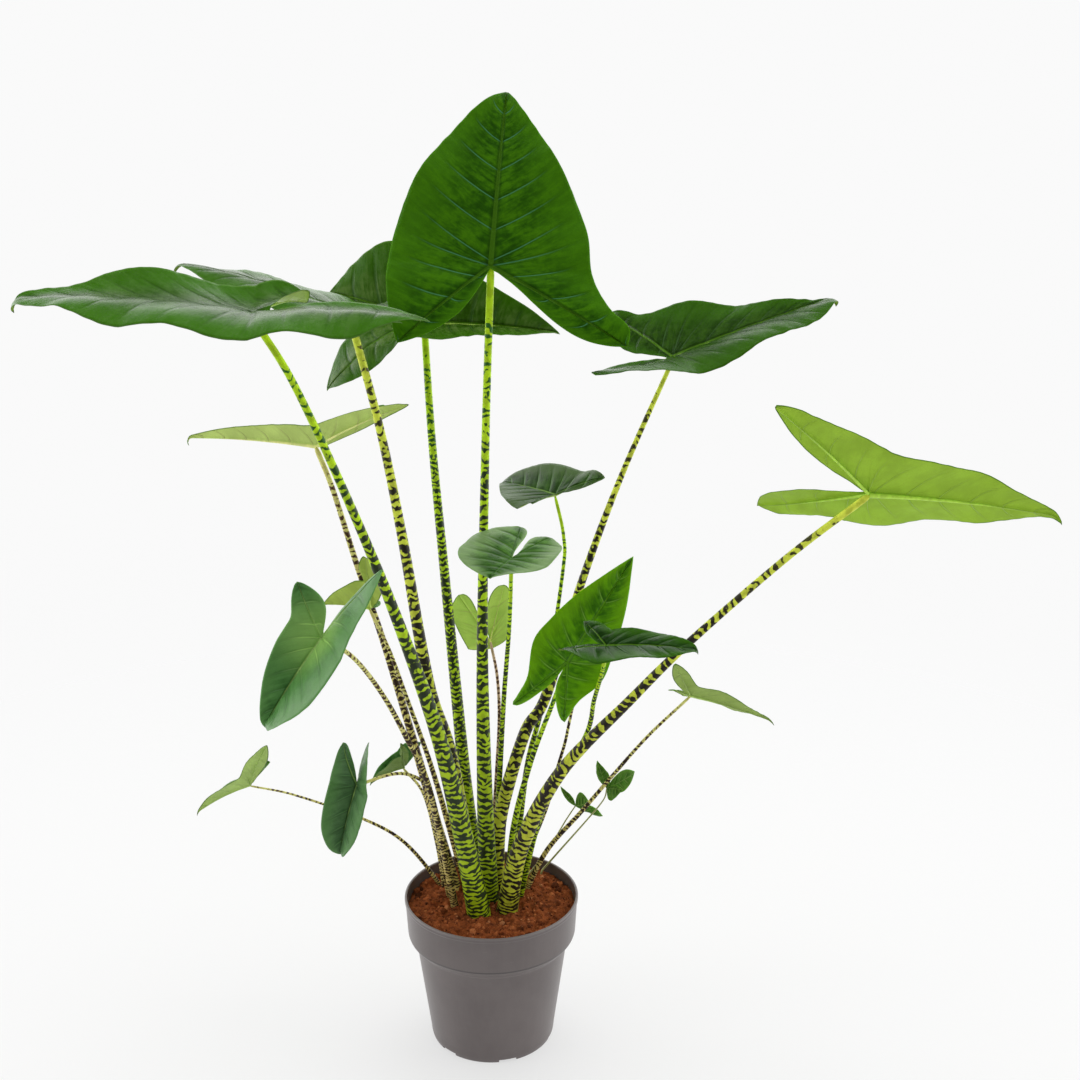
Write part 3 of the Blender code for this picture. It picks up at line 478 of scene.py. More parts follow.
def end_tree(entry, geometry, smooth=True):
    """Finish a tree: real geometry in its material, shaded smooth or as it was."""
    geometry = entry.node("GeometryNodeRealizeInstances", None, {"Geometry": geometry})
    if smooth:
        geometry = entry.node("GeometryNodeSetShadeSmooth", None, {"Geometry": geometry})
    geometry = entry.node("GeometryNodeSetMaterial", None, {
        "Geometry": geometry, "Material": entry.beside("Material")})
    last = entry.tree.nodes.new("NodeGroupOutput")
    entry.tree.links.new(geometry.socket, last.inputs["Geometry"])


def run_tree(name, data, tree, sizes):
    """Run a tree on a curve or mesh, and keep its result as one plain mesh piece."""
    source = bpy.data.objects.new(name + "_source", data)
    bpy.context.collection.objects.link(source)
    step = source.modifiers.new("tree", "NODES")
    step.node_group = tree
    for socket in tree.interface.items_tree:
        if socket.in_out == "INPUT" and socket.name in sizes:
            step[socket.identifier] = sizes[socket.name]
    depsgraph = bpy.context.evaluated_depsgraph_get()
    mesh = bpy.data.meshes.new_from_object(source.evaluated_get(depsgraph))
    mesh.name = name
    bpy.data.objects.remove(source)
    made = bpy.data.objects.new(name, mesh)
    bpy.context.collection.objects.link(made)
    return made


def random_value(entry, kind, low, high, seed):
    """A random number or vector for each point, from a fixed seed."""
    vector = kind == "FLOAT_VECTOR"
    first = 0 if vector else 2
    return entry.node("FunctionNodeRandomValue", {"data_type": kind},
                      {first: low, first + 1: high, "Seed": seed}, output=0 if vector else 1)


# Crumbs lie only on the top of the bed, clear of the pot's wall. These are in metres.
LEAST_UPRIGHT = 0.35
LOWEST_CRUMB = 0.16
STREWN_REACH_SQUARED = 0.0091


def scatter_tree(name, thing):
    """Strews small things over the top of the soil, each one turned and sized by chance."""
    tree, entry = new_tree(name, {"Count per area": "NodeSocketFloat", "Size": "NodeSocketFloat",
                                  "Seed": "NodeSocketInt", "Material": "NodeSocketMaterial"})
    facing = entry.axis(entry.node("GeometryNodeInputNormal"), "Z")
    height = entry.axis(entry.node("GeometryNodeInputPosition"), "Z")
    x, y = height.beside("X"), height.beside("Y")
    top = entry.math("GREATER_THAN", facing, LEAST_UPRIGHT) * entry.math(
        "GREATER_THAN", height, LOWEST_CRUMB)
    top = top * entry.math("LESS_THAN", x * x + y * y, STREWN_REACH_SQUARED)
    seed = entry.beside("Seed")
    points = entry.node("GeometryNodeDistributePointsOnFaces", None, {
        "Mesh": entry, "Selection": top, "Density": entry.beside("Count per area"), "Seed": seed},
        output="Points")
    turn = random_value(entry, "FLOAT_VECTOR", (0.0, 0.0, 0.0), (6.283, 6.283, 6.283), 3)
    size = random_value(entry, "FLOAT", 0.35, 1.0, 5)
    size = size * size * entry.beside("Size")
    strewn = entry.node("GeometryNodeInstanceOnPoints", None, {
        "Points": points, "Instance": thing(entry), "Rotation": turn, "Scale": size},
        output="Instances")
    tone = random_value(entry, "FLOAT", 0.0, 1.0, 9)
    strewn = entry.node("GeometryNodeStoreNamedAttribute", {
        "data_type": "FLOAT", "domain": "INSTANCE"},
        {"Geometry": strewn, "Name": "tone", "Value": tone})
    end_tree(entry, strewn, smooth=False)
    return tree


def crumb(entry):
    """A lump with dents."""
    ball = entry.node("GeometryNodeMeshIcoSphere", None, {"Radius": 1.0, "Subdivisions": 2})
    position = entry.node("GeometryNodeInputPosition")
    swell = entry.noise(position, 1.3, 2.0)
    return entry.node("GeometryNodeSetPosition", None, {
        "Geometry": ball, "Offset": entry.node("ShaderNodeVectorMath", {"operation": "SCALE"}, {
            0: position, "Scale": 1.4 * (swell - 0.55)})})


def fibre(entry):
    """A short bent thread."""
    line = entry.node("GeometryNodeCurvePrimitiveBezierSegment", None, {
        "Resolution": 6, "Start": (-5.0, 0.0, 0.0), "Start Handle": (-2.0, 2.4, 0.6),
        "End Handle": (2.0, -1.4, 0.4), "End": (5.0, 0.6, 0.0)})
    ring = entry.node("GeometryNodeCurvePrimitiveCircle", None, {"Resolution": 4, "Radius": 0.16})
    return entry.node("GeometryNodeCurveToMesh", None, {
        "Curve": line, "Profile Curve": ring, "Fill Caps": True})


loose_soil = soil_finish("loose_soil_finish", True)
for name, thing, count, size in (("soil_clods", crumb, 7000.0, 0.0050),
                                 ("soil_crumbs", crumb, 40000.0, 0.0022),
                                 ("soil_fibres", fibre, 16000.0, 0.0011)):
    tree = scatter_tree(name, thing)
    strewn = run_tree(name, soil_bed.data, tree, {
        "Count per area": count, "Size": size, "Seed": 11, "Material": loose_soil})
    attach(strewn, "root")


# Leaves
# Nineteen leaves rise from one crown of the plant under the soil. Each is one fleshy
# stalk with one arrow-shaped blade: a half on each side of the midrib, each with a lobe.

# Places are in millimetres. "joint" is where the stalk meets the blade, "tip" the
# blade's tip, "left" and "right" the ends of its lobes as seen on its upper face. What
# follows is in millimetres too, by half, left then right: "width" at the joint, "lean",
# "droop" and "fold" as the margin's rise, its sag and how far its edge folds down,
# "rise" of a lobe's inner margin, "twist" as a rise towards the tip and a fall along the
# lobe, and "wave" as the height of the margin's waves, with "waves" as their count and
# "phase" as their start. As shares: "blunt" and "round" say how full the tip and the
# lobe's end are, "bulge" and "belly" how far a lobe's outer and inner margin swell,
# "soft" how far the margin swells at the very end of both lobes, and "web" how far the
# sinus ends behind the joint. "bow" is the arch of the midrib, and "hook" and "curl" turn
# the tip down by millimetres or degrees. A stalk's "path" runs from the soil to the
# blade, its "radii" are those at the foot and the top, and "taper" says how soon it gets
# thin.
PLAIN_LEAF = dict(lean=(0, 0), droop=(0, 0), fold=(0, 0), rise=(0, 0), twist=(0, 0), blunt=(0, 0),
                  round=(0, 0), waves=(2, 2), wave=(2, 2), phase=(0.0, 0.3), soft=0.03, web=0.07,
                  hook=0, curl=0, taper=1.35)
LEAVES = {
    "crown": dict(
        joint=(5, 30, 938), tip=(22, 130, 1124), left=(-96, -5, 860), right=(153, -12, 857),
        width=(113, 111), droop=(3, 3), blunt=(0.35, 0.0), bulge=(0.5, 0.0), belly=(0.65, 0.40),
        round=(0, 0.5), bow=6, hook=10, web=0.012, waves=(3, 3), wave=(4, 4),
        path=[(-3, 2, 174), (-7, 4, 321), (-8, 12, 511), (-2, 22, 753)],
        radii=(13.0, 4.2), taper=2.2, blade="rich", stalk="lime"),
    "long_left": dict(
        joint=(-224, -145, 913), tip=(-457, -177, 931), left=(-43, -230, 918),
        right=(-183, -55, 911),
        width=(100, 76), lean=(-2, -4), droop=(2, -2), fold=(22, -19), rise=(9, 20),
        blunt=(0.5, 0.3), bulge=(0.3, 0.6), belly=(0.5, 0.9), bow=7, curl=110, waves=(4, 2),
        wave=(4, 6), phase=(0.51, 0.31),
        path=[(-14, -28, 174), (-34, -44, 305), (-59, -66, 437), (-103, -95, 597),
              (-148, -119, 734), (-190, -136, 844)],
        radii=(15.0, 3.6), taper=1.8, blade="dark", stalk="lime"),
    "back_left": dict(
        joint=(-149, 40, 883), tip=(-362, 100, 934), left=(-86, -40, 887), right=(-75, 140, 898),
        width=(62, 66), lean=(-12, -14), droop=(2, 2), fold=(15, 3), blunt=(0.2, 0.4),
        bulge=(0.3, 0.6), belly=(0.6, 0.8), bow=8, curl=120, waves=(3, 3), wave=(3, 3),
        path=[(-24, 23, 174), (-48, 26, 354), (-73, 28, 449), (-99, 31, 627), (-122, 35, 758)],
        radii=(11.0, 4.2), blade="dark", stalk="yellow"),
    "centre_back": dict(
        joint=(-83, 190, 851), tip=(83, 170, 843), left=(-198, 220, 885), right=(-194, 132, 780),
        width=(66, 50), lean=(20, 42), droop=(-4, 0), bulge=(2.7, 0.8), belly=(0.8, 1.2), bow=6,
        hook=4, waves=(3, 3), wave=(3, 3),
        path=[(-17, 48, 174), (-32, 72, 283), (-44, 99, 403), (-59, 131, 564), (-72, 158, 711)],
        radii=(9.5, 4.2), blade="dark", stalk="lime"),
    "right": dict(
        joint=(211, 95, 827), tip=(411, 155, 889), left=(139, 185, 858), right=(115, 5, 826),
        width=(85, 61), lean=(8, -22), droop=(-6, 2), fold=(0, 16), rise=(0, 8), blunt=(-0.5, 0.8),
        round=(0, 0.8), bulge=(0.0, 1.2), belly=(0.7, 0.5), soft=0.06, bow=2, curl=90, web=0.03,
        waves=(2.5, 2.5), wave=(5, 5), phase=(0.70, 0.30),
        path=[(5, 27, 174), (7, 30, 242), (14, 38, 289), (41, 50, 378), (66, 56, 422),
              (109, 71, 564), (155, 83, 691)],
        radii=(10.5, 2.6), blade="dark", stalk="yellow"),
    "far_right": dict(
        joint=(403, -100, 718), tip=(620, -80, 685), left=(299, -20, 682), right=(288, -180, 826),
        width=(72, 66), lean=(-14, 2), droop=(2, 2), round=(0.6, 0),
        bulge=(0.3, 0.3), belly=(1.2, 0.4), soft=0.01, bow=4, curl=70, web=0.02, waves=(3, 3),
        wave=(3, 3),
        path=[(19, -20, 174), (36, -33, 268), (83, -48, 372), (159, -61, 465), (222, -73, 539),
              (323, -88, 642)],
        radii=(14.0, 3.7), taper=2.4, blade="pale", stalk="yellow"),
    "low_left": dict(
        joint=(-215, 180, 702), tip=(-391, 220, 703), left=(-96, 130, 764), right=(-134, 225, 742),
        width=(28, 30), lean=(2, 0), bulge=(0.2, 0.1), belly=(0.3, 0.3), bow=3, curl=140,
        path=[(-44, 31, 174), (-71, 69, 252), (-104, 107, 358), (-137, 132, 467), (-167, 150, 555),
              (-196, 166, 650)],
        radii=(6.5, 3.2), blade="pale", stalk="tan"),
    "small_high": dict(
        joint=(77, 105, 660), tip=(9, 180, 656), left=(50, 64, 660), right=(136, 108, 680),
        width=(60, 52), lean=(0, 2), droop=(5, 0), twist=(0, 1), blunt=(0.0, 1.2), bulge=(0.6, 1.0),
        belly=(0.1, 0.6), bow=2, hook=3, web=0.02, wave=(1, 1),
        path=[(26, 40, 174), (42, 68, 318), (63, 84, 406), (86, 98, 564), (87, 100, 610)],
        radii=(4.5, 2.0), blade="grey", stalk="lime"),
    "small_round": dict(
        joint=(28, -53, 631), tip=(5, -93, 622), left=(71, -9, 641), right=(37, 17, 646),
        width=(46, 60), lean=(3, 3), blunt=(0.0, 1.0), round=(0.9, 0.7), bulge=(1.6, 2.0),
        belly=(2.5, 0.9), soft=0.16, bow=1, hook=2, web=0.0, wave=(1, 1),
        path=[(3, 54, 174), (8, 51, 288), (16, 24, 431), (24, -20, 540)],
        radii=(4.2, 2.3), blade="grey", stalk="lime"),
    "small_folded": dict(
        joint=(-4, 150, 458), tip=(-2, 150, 447), left=(-42, 140, 522), right=(14, 150, 532),
        width=(31, 22), blunt=(0.5, 0.2), round=(0.4, 0), bulge=(1.0, 0.4), belly=(0.8, 1.4),
        soft=0.24, bow=1, web=0.02, wave=(1, 1),
        path=[(-3, 66, 174), (5, 85, 305), (8, 110, 371), (5, 132, 418)],
        radii=(3.8, 1.8), blade="pale", stalk="pink"),
    "bright": dict(
        joint=(90, -35, 502), tip=(165, 5, 615), left=(28, -55, 458), right=(86, -65, 441),
        width=(46, 44), droop=(3, 3), bulge=(-0.8, -0.6), belly=(0.85, 1.0), soft=0.14, bow=3,
        hook=3, wave=(3, 3),
        path=[(20, 5, 174), (27, -5, 275), (48, -15, 369), (75, -26, 452)],
        radii=(5.2, 2.4), blade="bright", stalk="lime"),
    "dark_small": dict(
        joint=(129, -120, 554), tip=(227, -150, 560), left=(106, -80, 567), right=(77, -150, 561),
        width=(28, 40), lean=(-1, -8), droop=(2, 4), blunt=(0.6, 0.4), bulge=(0.8, 0.6),
        belly=(0.6, 0.6), bow=3, curl=80,
        path=[(34, 12, 174), (62, 2, 298), (111, -12, 398), (120, -48, 461), (127, -88, 511)],
        radii=(4.6, 2.2), blade="dark", stalk="lime"),
    "hidden_young": dict(
        joint=(117, 86, 484), tip=(145, 70, 534), left=(94, 70, 455), right=(125, 68, 447),
        width=(26, 24), droop=(2, 2), bulge=(0.8, 0.8), belly=(0.7, 0.7), bow=2, hook=2,
        path=[(30, 60, 174), (65, 64, 264), (81, 70, 323), (90, 74, 355), (97, 80, 389)],
        radii=(3.0, 1.6), blade="rich", stalk="tan"),
    "thin_right": dict(
        joint=(239, 50, 426), tip=(344, 60, 386), left=(215, 80, 420), right=(215, 20, 477),
        width=(26, 24), bulge=(0.6, 0.3), belly=(0.6, 0.6), bow=2, hook=4,
        path=[(42, 30, 174), (68, 34, 228), (109, 38, 277), (144, 42, 320), (189, 46, 374)],
        radii=(3.8, 1.7), blade="pale", stalk="tan"),
    "front_left": dict(
        joint=(-168, -160, 578), tip=(-229, -190, 487), left=(-100, -180, 659),
        right=(-192, -150, 636),
        width=(84, 38), droop=(4, 4), blunt=(0.7, 0.4), bulge=(0.1, 0.0), belly=(0.5, 1.0),
        soft=0.10, bow=3, curl=80, web=0.04,
        path=[(-44, -10, 174), (-68, -53, 351), (-92, -79, 432), (-115, -103, 494),
              (-140, -137, 548)],
        radii=(5.0, 2.3), blade="blue", stalk="tan"),
    "pale_left": dict(
        joint=(-142, 58, 534), tip=(-201, 70, 534), left=(-141, 20, 609), right=(-136, 90, 532),
        width=(44, 30), bulge=(0.4, 0.6), belly=(0.6, 0.6), soft=0.14, bow=2, hook=3,
        path=[(-34, 42, 174), (-56, 50, 262), (-76, 54, 338), (-103, 56, 424), (-121, 58, 480)],
        radii=(4.6, 2.0), blade="pale", stalk="tan"),
    "outer_left": dict(
        joint=(-301, 75, 295), tip=(-371, 75, 256), left=(-271, 45, 363), right=(-278, 95, 317),
        width=(24, 22), droop=(2, 2), bulge=(0.5, 0.5), belly=(0.6, 0.6), bow=3, hook=3,
        path=[(-66, 44, 174), (-108, 52, 227), (-158, 62, 254), (-245, 73, 282)],
        radii=(2.8, 1.2), blade="grey", stalk="tan"),
    "hanging_left": dict(
        joint=(-149, -70, 366), tip=(-170, -82, 284), left=(-134, -70, 419), right=(-161, -80, 423),
        width=(32, 30), droop=(10, 10), blunt=(1.4, 1.2), bulge=(1.0, 0.0), belly=(0.9, 0.6),
        soft=0.14, bow=4, hook=3, web=0.03, wave=(1, 1),
        path=[(-52, 10, 174), (-64, -16, 280), (-71, -31, 341), (-89, -40, 363), (-112, -51, 370)],
        radii=(3.4, 1.8), blade="blue", stalk="tan"),
    "teal_left": dict(
        joint=(-114, 120, 297), tip=(-156, 100, 283), left=(-115, 105, 338), right=(-92, 130, 328),
        width=(24, 24), droop=(3, 3), bulge=(0.8, 0.8), belly=(0.6, 0.6), bow=3, hook=2,
        path=[(-60, 36, 174), (-70, 62, 223), (-88, 96, 273)],
        radii=(3.0, 1.6), blade="blue", stalk="tan"),
}

# A blade longer than this, in millimetres, has more side veins and a finer grid.
BIG_BLADE = 150.0


def millimetres(place):
    """A place given in millimetres, as a vector in metres."""
    return Vector(place) * MM


def smooth_path(points, count, substeps=16):
    """Count + 1 points, evenly spaced along a smooth curve through the given ones."""
    ends = [points[0] * 2 - points[1], *points, points[-1] * 2 - points[-2]]
    fine = []
    for a, b, c, d in zip(ends, ends[1:], ends[2:], ends[3:]):
        for step in range(substeps):
            t = step / substeps
            fine.append(0.5 * (2 * b + (c - a) * t + (2 * a - 5 * b + 4 * c - d) * t * t
                               + (3 * b - 3 * c + d - a) * t ** 3))
    fine.append(points[-1])
    travel = [0.0]
    for before, after in zip(fine, fine[1:]):
        travel.append(travel[-1] + (after - before).length)
    even, k = [], 0
    for step in range(count + 1):
        goal = travel[-1] * step / count
        while k < len(travel) - 2 and travel[k + 1] < goal:
            k += 1
        share = (goal - travel[k]) / (travel[k + 1] - travel[k])
        even.append(fine[k].lerp(fine[k + 1], min(max(share, 0.0), 1.0)))
    return even


class Blade:
    """The upper surface of one arrow-shaped blade, as places worked out from a few.

    Each half lies in its own plane through the joint, the tip and its lobe's
    end. Every place in it is given by a station along its margin, from 0 at the
    tip to 1 at the lobe's end, and a share of the way there from the ribs: the
    midrib back to the joint and, from there, the rib of the lobe.
    """

    # The rows from the midrib start before the first station, and those from the lobe's
    # rib after the second. Between them they fan out from the joint.
    MIDRIB_STATION = 0.56
    LOBE_STATION = 0.68
    MARGIN_STEPS = 240
    CURL_START = 0.92
    # The margin from the tip to beside the joint, as shares of the length and the width.
    POINTED = ((1.0, 0.0), (0.90, 0.15), (0.72, 0.41), (0.48, 0.70), (0.22, 0.92))
    BLUNT = ((1.0, 0.0), (0.96, 0.28), (0.84, 0.57), (0.62, 0.84), (0.32, 0.98))
    # Metres that a big blade rises at most between two side veins, sinks at its main
    # ribs, ripples at its margin and drifts up and down elsewhere.
    PUFF, GROOVE, RIPPLE, DRIFT = 0.0014, 0.0008, 0.0011, 0.0012
    VEIN_LEAN = 0.045
    IN_MILLIMETRES = ("width", "lean", "droop", "fold", "rise", "twist", "wave")
    AS_SHARES = ("blunt", "round", "bulge", "belly", "waves", "phase")

    def __init__(self, leaf, seed):
        leaf = PLAIN_LEAF | leaf
        self.leaf = leaf
        self.seed = seed
        self.joint = millimetres(leaf["joint"])
        ahead = millimetres(leaf["tip"]) - self.joint
        self.length = ahead.length
        self.ahead = ahead.normalized()
        self.big = self.length > BIG_BLADE * MM
        self.laterals = 11 if self.big else 8
        self.halves = []
        for index, (side, turn) in enumerate((("left", 1), ("right", -1))):
            reach = millimetres(leaf[side]) - self.joint
            back = reach.dot(self.ahead)
            across = reach - back * self.ahead
            outward = across.normalized()
            up = (self.ahead.cross(outward) * turn).normalized()
            half = {key: leaf[key][index] * MM for key in self.IN_MILLIMETRES}
            half |= {key: leaf[key][index] for key in self.AS_SHARES}
            half |= dict(turn=turn, outward=outward, up=up,
                         lobe=Vector((back, across.length, 0.0)))
            self.halves.append(half)
        self.up = (self.halves[0]["up"] + self.halves[1]["up"]).normalized()
        for half in self.halves:
            half["margin"] = self.margin(half)

    def margin(self, half):
        """The outer margin in the half's own plane, from the tip to the lobe's end."""
        length, width, lobe = self.length, half["width"], half["lobe"]
        outer = Vector((lobe.y, -lobe.x, 0.0))
        shoulder = Vector((0.0, width, 0.0))
        points = []
        for sharp, blunt in zip(self.POINTED, self.BLUNT):
            x, y = (a + (b - a) * half["blunt"] for a, b in zip(sharp, blunt))
            points.append(Vector((length * x, width * y, 0.0)))
        points.append(shoulder)
        points.append(shoulder.lerp(lobe, 0.48) + 0.13 * half["bulge"] * outer)
        swell = 0.085 * half["bulge"] + 0.11 * half["round"]
        points.append(shoulder.lerp(lobe, 0.84) + swell * outer)
        if half["round"]:
            points.append(shoulder.lerp(lobe, 0.97) + 0.08 * half["round"] * outer)
        points.append(lobe)
        path = smooth_path(points, self.MARGIN_STEPS, 40)
        return [place + self.end_swell(lobe, place.dot(lobe) / lobe.length_squared)
                for place in path]

    def end_swell(self, lobe, along):
        """How far the margin bulges out just before a lobe's rounded end."""
        left = min(max((1 - along) / 0.5, 0.0), 1.0)
        size = self.leaf["soft"] * math.sqrt(left) * (1 - left) ** 2
        return Vector((lobe.y, -lobe.x, 0.0)) * size

    def rim_place(self, half, station, inner):
        """The margin's place at a station, in the half's plane."""
        if not inner:
            edge = half["margin"]
            along = station * (len(edge) - 1)
            k = min(int(along), len(edge) - 2)
            return edge[k].lerp(edge[k + 1], along - k)
        lobe = half["lobe"]
        t = max(0.0, (station - self.LOBE_STATION) / (1 - self.LOBE_STATION))
        web = Vector((-self.leaf["web"] * self.length, 0.0, 0.0)) * (1 - t) ** 2
        belly = 0.32 * half["belly"] * lobe.y / lobe.length
        belly *= math.sin(math.pi * t ** (1 + half["round"]))
        return lobe * t - Vector((lobe.y, -lobe.x, 0.0)) * belly + web - self.end_swell(lobe, t)

    def rib_place(self, half, station):
        """The place on a main rib that a station's row starts at."""
        if station < self.MIDRIB_STATION:
            return Vector((self.length * (1 - station / self.MIDRIB_STATION), 0.0, 0.0))
        if station > self.LOBE_STATION:
            return half["lobe"] * ((station - self.LOBE_STATION) / (1 - self.LOBE_STATION))
        return Vector((0.0, 0.0, 0.0))

    def flat_place(self, half, station, share, inner):
        """A place in the half's own plane, on the row from the rib to the margin."""
        return self.rib_place(half, station).lerp(self.rim_place(half, station, inner), share)

    def lift(self, half, place, station, share, inner):
        """How far a place in a half's plane lies above it: arch, sag, folds and waves."""
        leaf, lobe = self.leaf, half["lobe"]
        x = place.x / self.length
        arch, t = 0.0, 0.0
        if x > 0:
            arch += leaf["bow"] * MM * 4 * x * (1 - x)
            arch -= leaf["hook"] * MM * max(0.0, (x - 0.90) / 0.10) ** 2
        else:
            t = min(1.0, place.x / lobe.x) if lobe.x < 0 else 0.0
            arch += leaf["bow"] * MM * 4 * t * (1 - t)
        wide = max(0.0, min(1.2, place.y / half["width"]))
        free = 1.0 - t if x <= 0 else 1.0
        local = (half["lean"] * wide - half["droop"] * wide * wide) * free
        if inner:
            lobe_share = (station - self.LOBE_STATION) / (1 - self.LOBE_STATION)
            return arch, local + half["rise"] * share * share * math.sin(math.pi * lobe_share)
        phase = 2 * math.pi * (half["waves"] * station + half["phase"])
        local += half["wave"] * math.sin(phase) * (share * share) * min(1.0, wide * 2)
        local += half["twist"] * share * share * math.sin(2 * math.pi * station)
        local -= half["fold"] * share ** 3 * min(1.0, 3 * station, 6 * (1 - station))
        return arch, local

    def place(self, half, station, share, inner=False):
        """A place on the smooth blade, without its veins' relief."""
        flat = self.flat_place(half, station, share, inner)
        arch, local = self.lift(half, flat, station, share, inner)
        forward = flat.x
        turn = math.radians(self.leaf["curl"])
        start = self.CURL_START * self.length
        if turn and forward > start:
            bent = turn * (forward - start) / (self.length - start)
            bend_radius = (self.length - start) / turn
            forward = start + bend_radius * math.sin(bent)
            arch -= bend_radius * (1 - math.cos(bent))
        return (self.joint + self.ahead * forward + half["outward"] * flat.y
                + self.up * arch + half["up"] * local)

    def lateral(self, station, share):
        """Which side vein a place lies at: whole numbers lie on the veins."""
        return self.laterals * (station + self.VEIN_LEAN * share * share)

    def spacing(self, half, station, share, inner):
        """Distance in metres from one side vein to the next, at a place."""
        step = 0.004
        ends = [self.flat_place(half, min(max(station + d, 0.0), 1.0), share, inner)
                for d in (-step, step)]
        return (ends[1] - ends[0]).length / (2 * step * self.laterals)

    def rib_ratio(self, half, flat, inner):
        """Distance from the nearest main rib, as a multiple of that rib's half width."""
        size = 0.0036 if self.big else 0.0018
        best = 9.0
        ribs = [half["lobe"]] if inner else [half["lobe"], Vector((self.length, 0.0, 0.0))]
        for rib in ribs:
            t = min(max(flat.dot(rib) / rib.length_squared, 0.0), 1.0)
            width = size * (1.0 - 0.78 * t)
            if rib is half["lobe"]:
                width *= 0.72
            best = min(best, (flat - rib * t).length / width)
        return best

    def relief(self, half, station, share, inner, spacing, ratio):
        """Rise of the blade between its side veins, its ribs' grooves and its ripples."""
        turn = self.lateral(station, share)
        away = 2 * abs(turn - round(turn))
        depth = min(0.055 * spacing, self.PUFF) * (1 - (1 - away) ** 2)
        depth *= min(1.0, share / 0.10) * (1 - share) ** 0.7
        size = 1.0 if self.big else 0.45
        groove = self.GROOVE * size * math.exp(-ratio * ratio)
        key = Vector((station * 31.0, half["turn"] * 7.0 + inner * 3.0, self.seed))
        ripple = self.RIPPLE * size * noise.noise(key) * share ** 4
        flat = self.flat_place(half, station, share, inner)
        drift = noise.noise(Vector((flat.x, flat.y * half["turn"], self.seed)) * 30.0 / size)
        drift *= self.DRIFT * size * min(1.0, share * 3)
        return depth - groove + ripple + drift


def stations_of(front, fan, lobe):
    """Stations of the cross rows: along the midrib, round the joint, along a lobe."""
    a, b = Blade.MIDRIB_STATION, Blade.LOBE_STATION
    rows = [a * k / front for k in range(front)]
    rows += [a + (b - a) * k / fan for k in range(fan)]
    rows += [b + (1 - b) * k / lobe for k in range(lobe + 1)]
    return rows


blades = {name: Blade(leaf, seed) for seed, (name, leaf) in enumerate(LEAVES.items())}


# Leaf stalks
# Fleshy round stalks that taper upwards, lime, yellow, tan or pink with blackish cross
# bars, dense and wavy at the foot and few near the blade. Each grows into its blade.

# How far under the soil's top a stalk begins, in millimetres.
STALK_DEPTH = 26.0


def swept_tree():
    """Sweeps a round section along each curve, as thick as the curve's own radius.

    The skin keeps "climb", from 0 at the foot to 1, "thick", its radius, and "straight",
    its place in millimetres on the same tube laid straight.
    """
    tree, entry = new_tree("swept", {"Sides": "NodeSocketInt", "Material": "NodeSocketMaterial"})

    def store(geometry, name, kind, value):
        return entry.node("GeometryNodeStoreNamedAttribute", {"data_type": kind, "domain": "POINT"},
                          {"Geometry": geometry, "Name": name, "Value": value})

    def read(name, kind):
        return entry.node("GeometryNodeInputNamedAttribute", {"data_type": kind}, {"Name": name},
                          output="Attribute")

    climb = entry.node("GeometryNodeSplineParameter", output="Factor")
    radius = entry.node("GeometryNodeInputRadius")
    curve = store(entry, "run", "FLOAT", climb.beside("Length"))
    curve = store(curve, "climb", "FLOAT", climb)
    curve = store(curve, "thick", "FLOAT", radius)
    ring = entry.node("GeometryNodeCurvePrimitiveCircle", None, {
        "Resolution": entry.beside("Sides"), "Radius": 1.0})
    ring = store(ring, "section", "FLOAT_VECTOR", entry.node("GeometryNodeInputPosition"))
    tube = entry.node("GeometryNodeCurveToMesh", None, {
        "Curve": curve, "Profile Curve": ring, "Scale": radius, "Fill Caps": True})
    section = entry.axis(read("section", "FLOAT_VECTOR"), "X")
    thick = read("thick", "FLOAT")
    straight = entry.node("ShaderNodeCombineXYZ", None, {
        "X": 1000 * section * thick, "Y": 1000 * section.beside("Y") * thick,
        "Z": 1000 * read("run", "FLOAT")})
    tube = store(tube, "straight", "FLOAT_VECTOR", straight)
    end_tree(entry, tube)
    return tree


swept = swept_tree()


def curve_data(name, runs):
    """A curve of open runs, each a list of places and one of their radii."""
    data = bpy.data.curves.new(name, "CURVE")
    data.dimensions = "3D"
    for places, radii in runs:
        run = data.splines.new("POLY")
        run.points.add(len(places) - 1)
        for point, place, radius in zip(run.points, places, radii):
            point.co = (*place, 1.0)
            point.radius = radius
    return data


def stalk_run(blade):
    """A stalk's places and radii, from under the soil into the underside of its blade.

    It tapers fast above its sheath at the foot, then slowly.
    """
    points = [millimetres(p) for p in blade.leaf["path"]]
    lead = ((points[0] - points[1]).normalized() - Vector((0.0, 0.0, 1.6))).normalized()
    foot = points[0] + lead * (STALK_DEPTH * MM / max(0.4, -lead.z))
    thick, thin = blade.leaf["radii"]
    top = thin * MM
    end = blade.joint + blade.ahead * top * 0.4 - blade.up * top * 0.8
    count = 150 if blade.big else 90
    places = smooth_path([foot, *points, end], count)
    radii = [(thin + (thick - thin) * (1 - k / count) ** blade.leaf["taper"]) * MM
             for k in range(count + 1)]
    radii[-1] *= 0.55
    radii[-2] *= 0.90
    return places, radii


STALK_FINISHES = {
    # ground near the foot, ground near the blade, bars near the foot, bars near the blade
    "lime": ((0.420, 0.580, 0.010), (0.540, 0.840, 0.012), (0.016, 0.028, 0.007),
             (0.030, 0.160, 0.010)),
    "yellow": ((0.550, 0.590, 0.040), (0.760, 0.860, 0.080), (0.014, 0.010, 0.005),
               (0.060, 0.060, 0.008)),
    "tan": ((0.680, 0.540, 0.170), (0.760, 0.740, 0.240), (0.030, 0.014, 0.006),
            (0.100, 0.050, 0.015)),
    "pink": ((0.520, 0.360, 0.220), (0.700, 0.500, 0.340), (0.060, 0.024, 0.012),
             (0.130, 0.056, 0.028)),
}


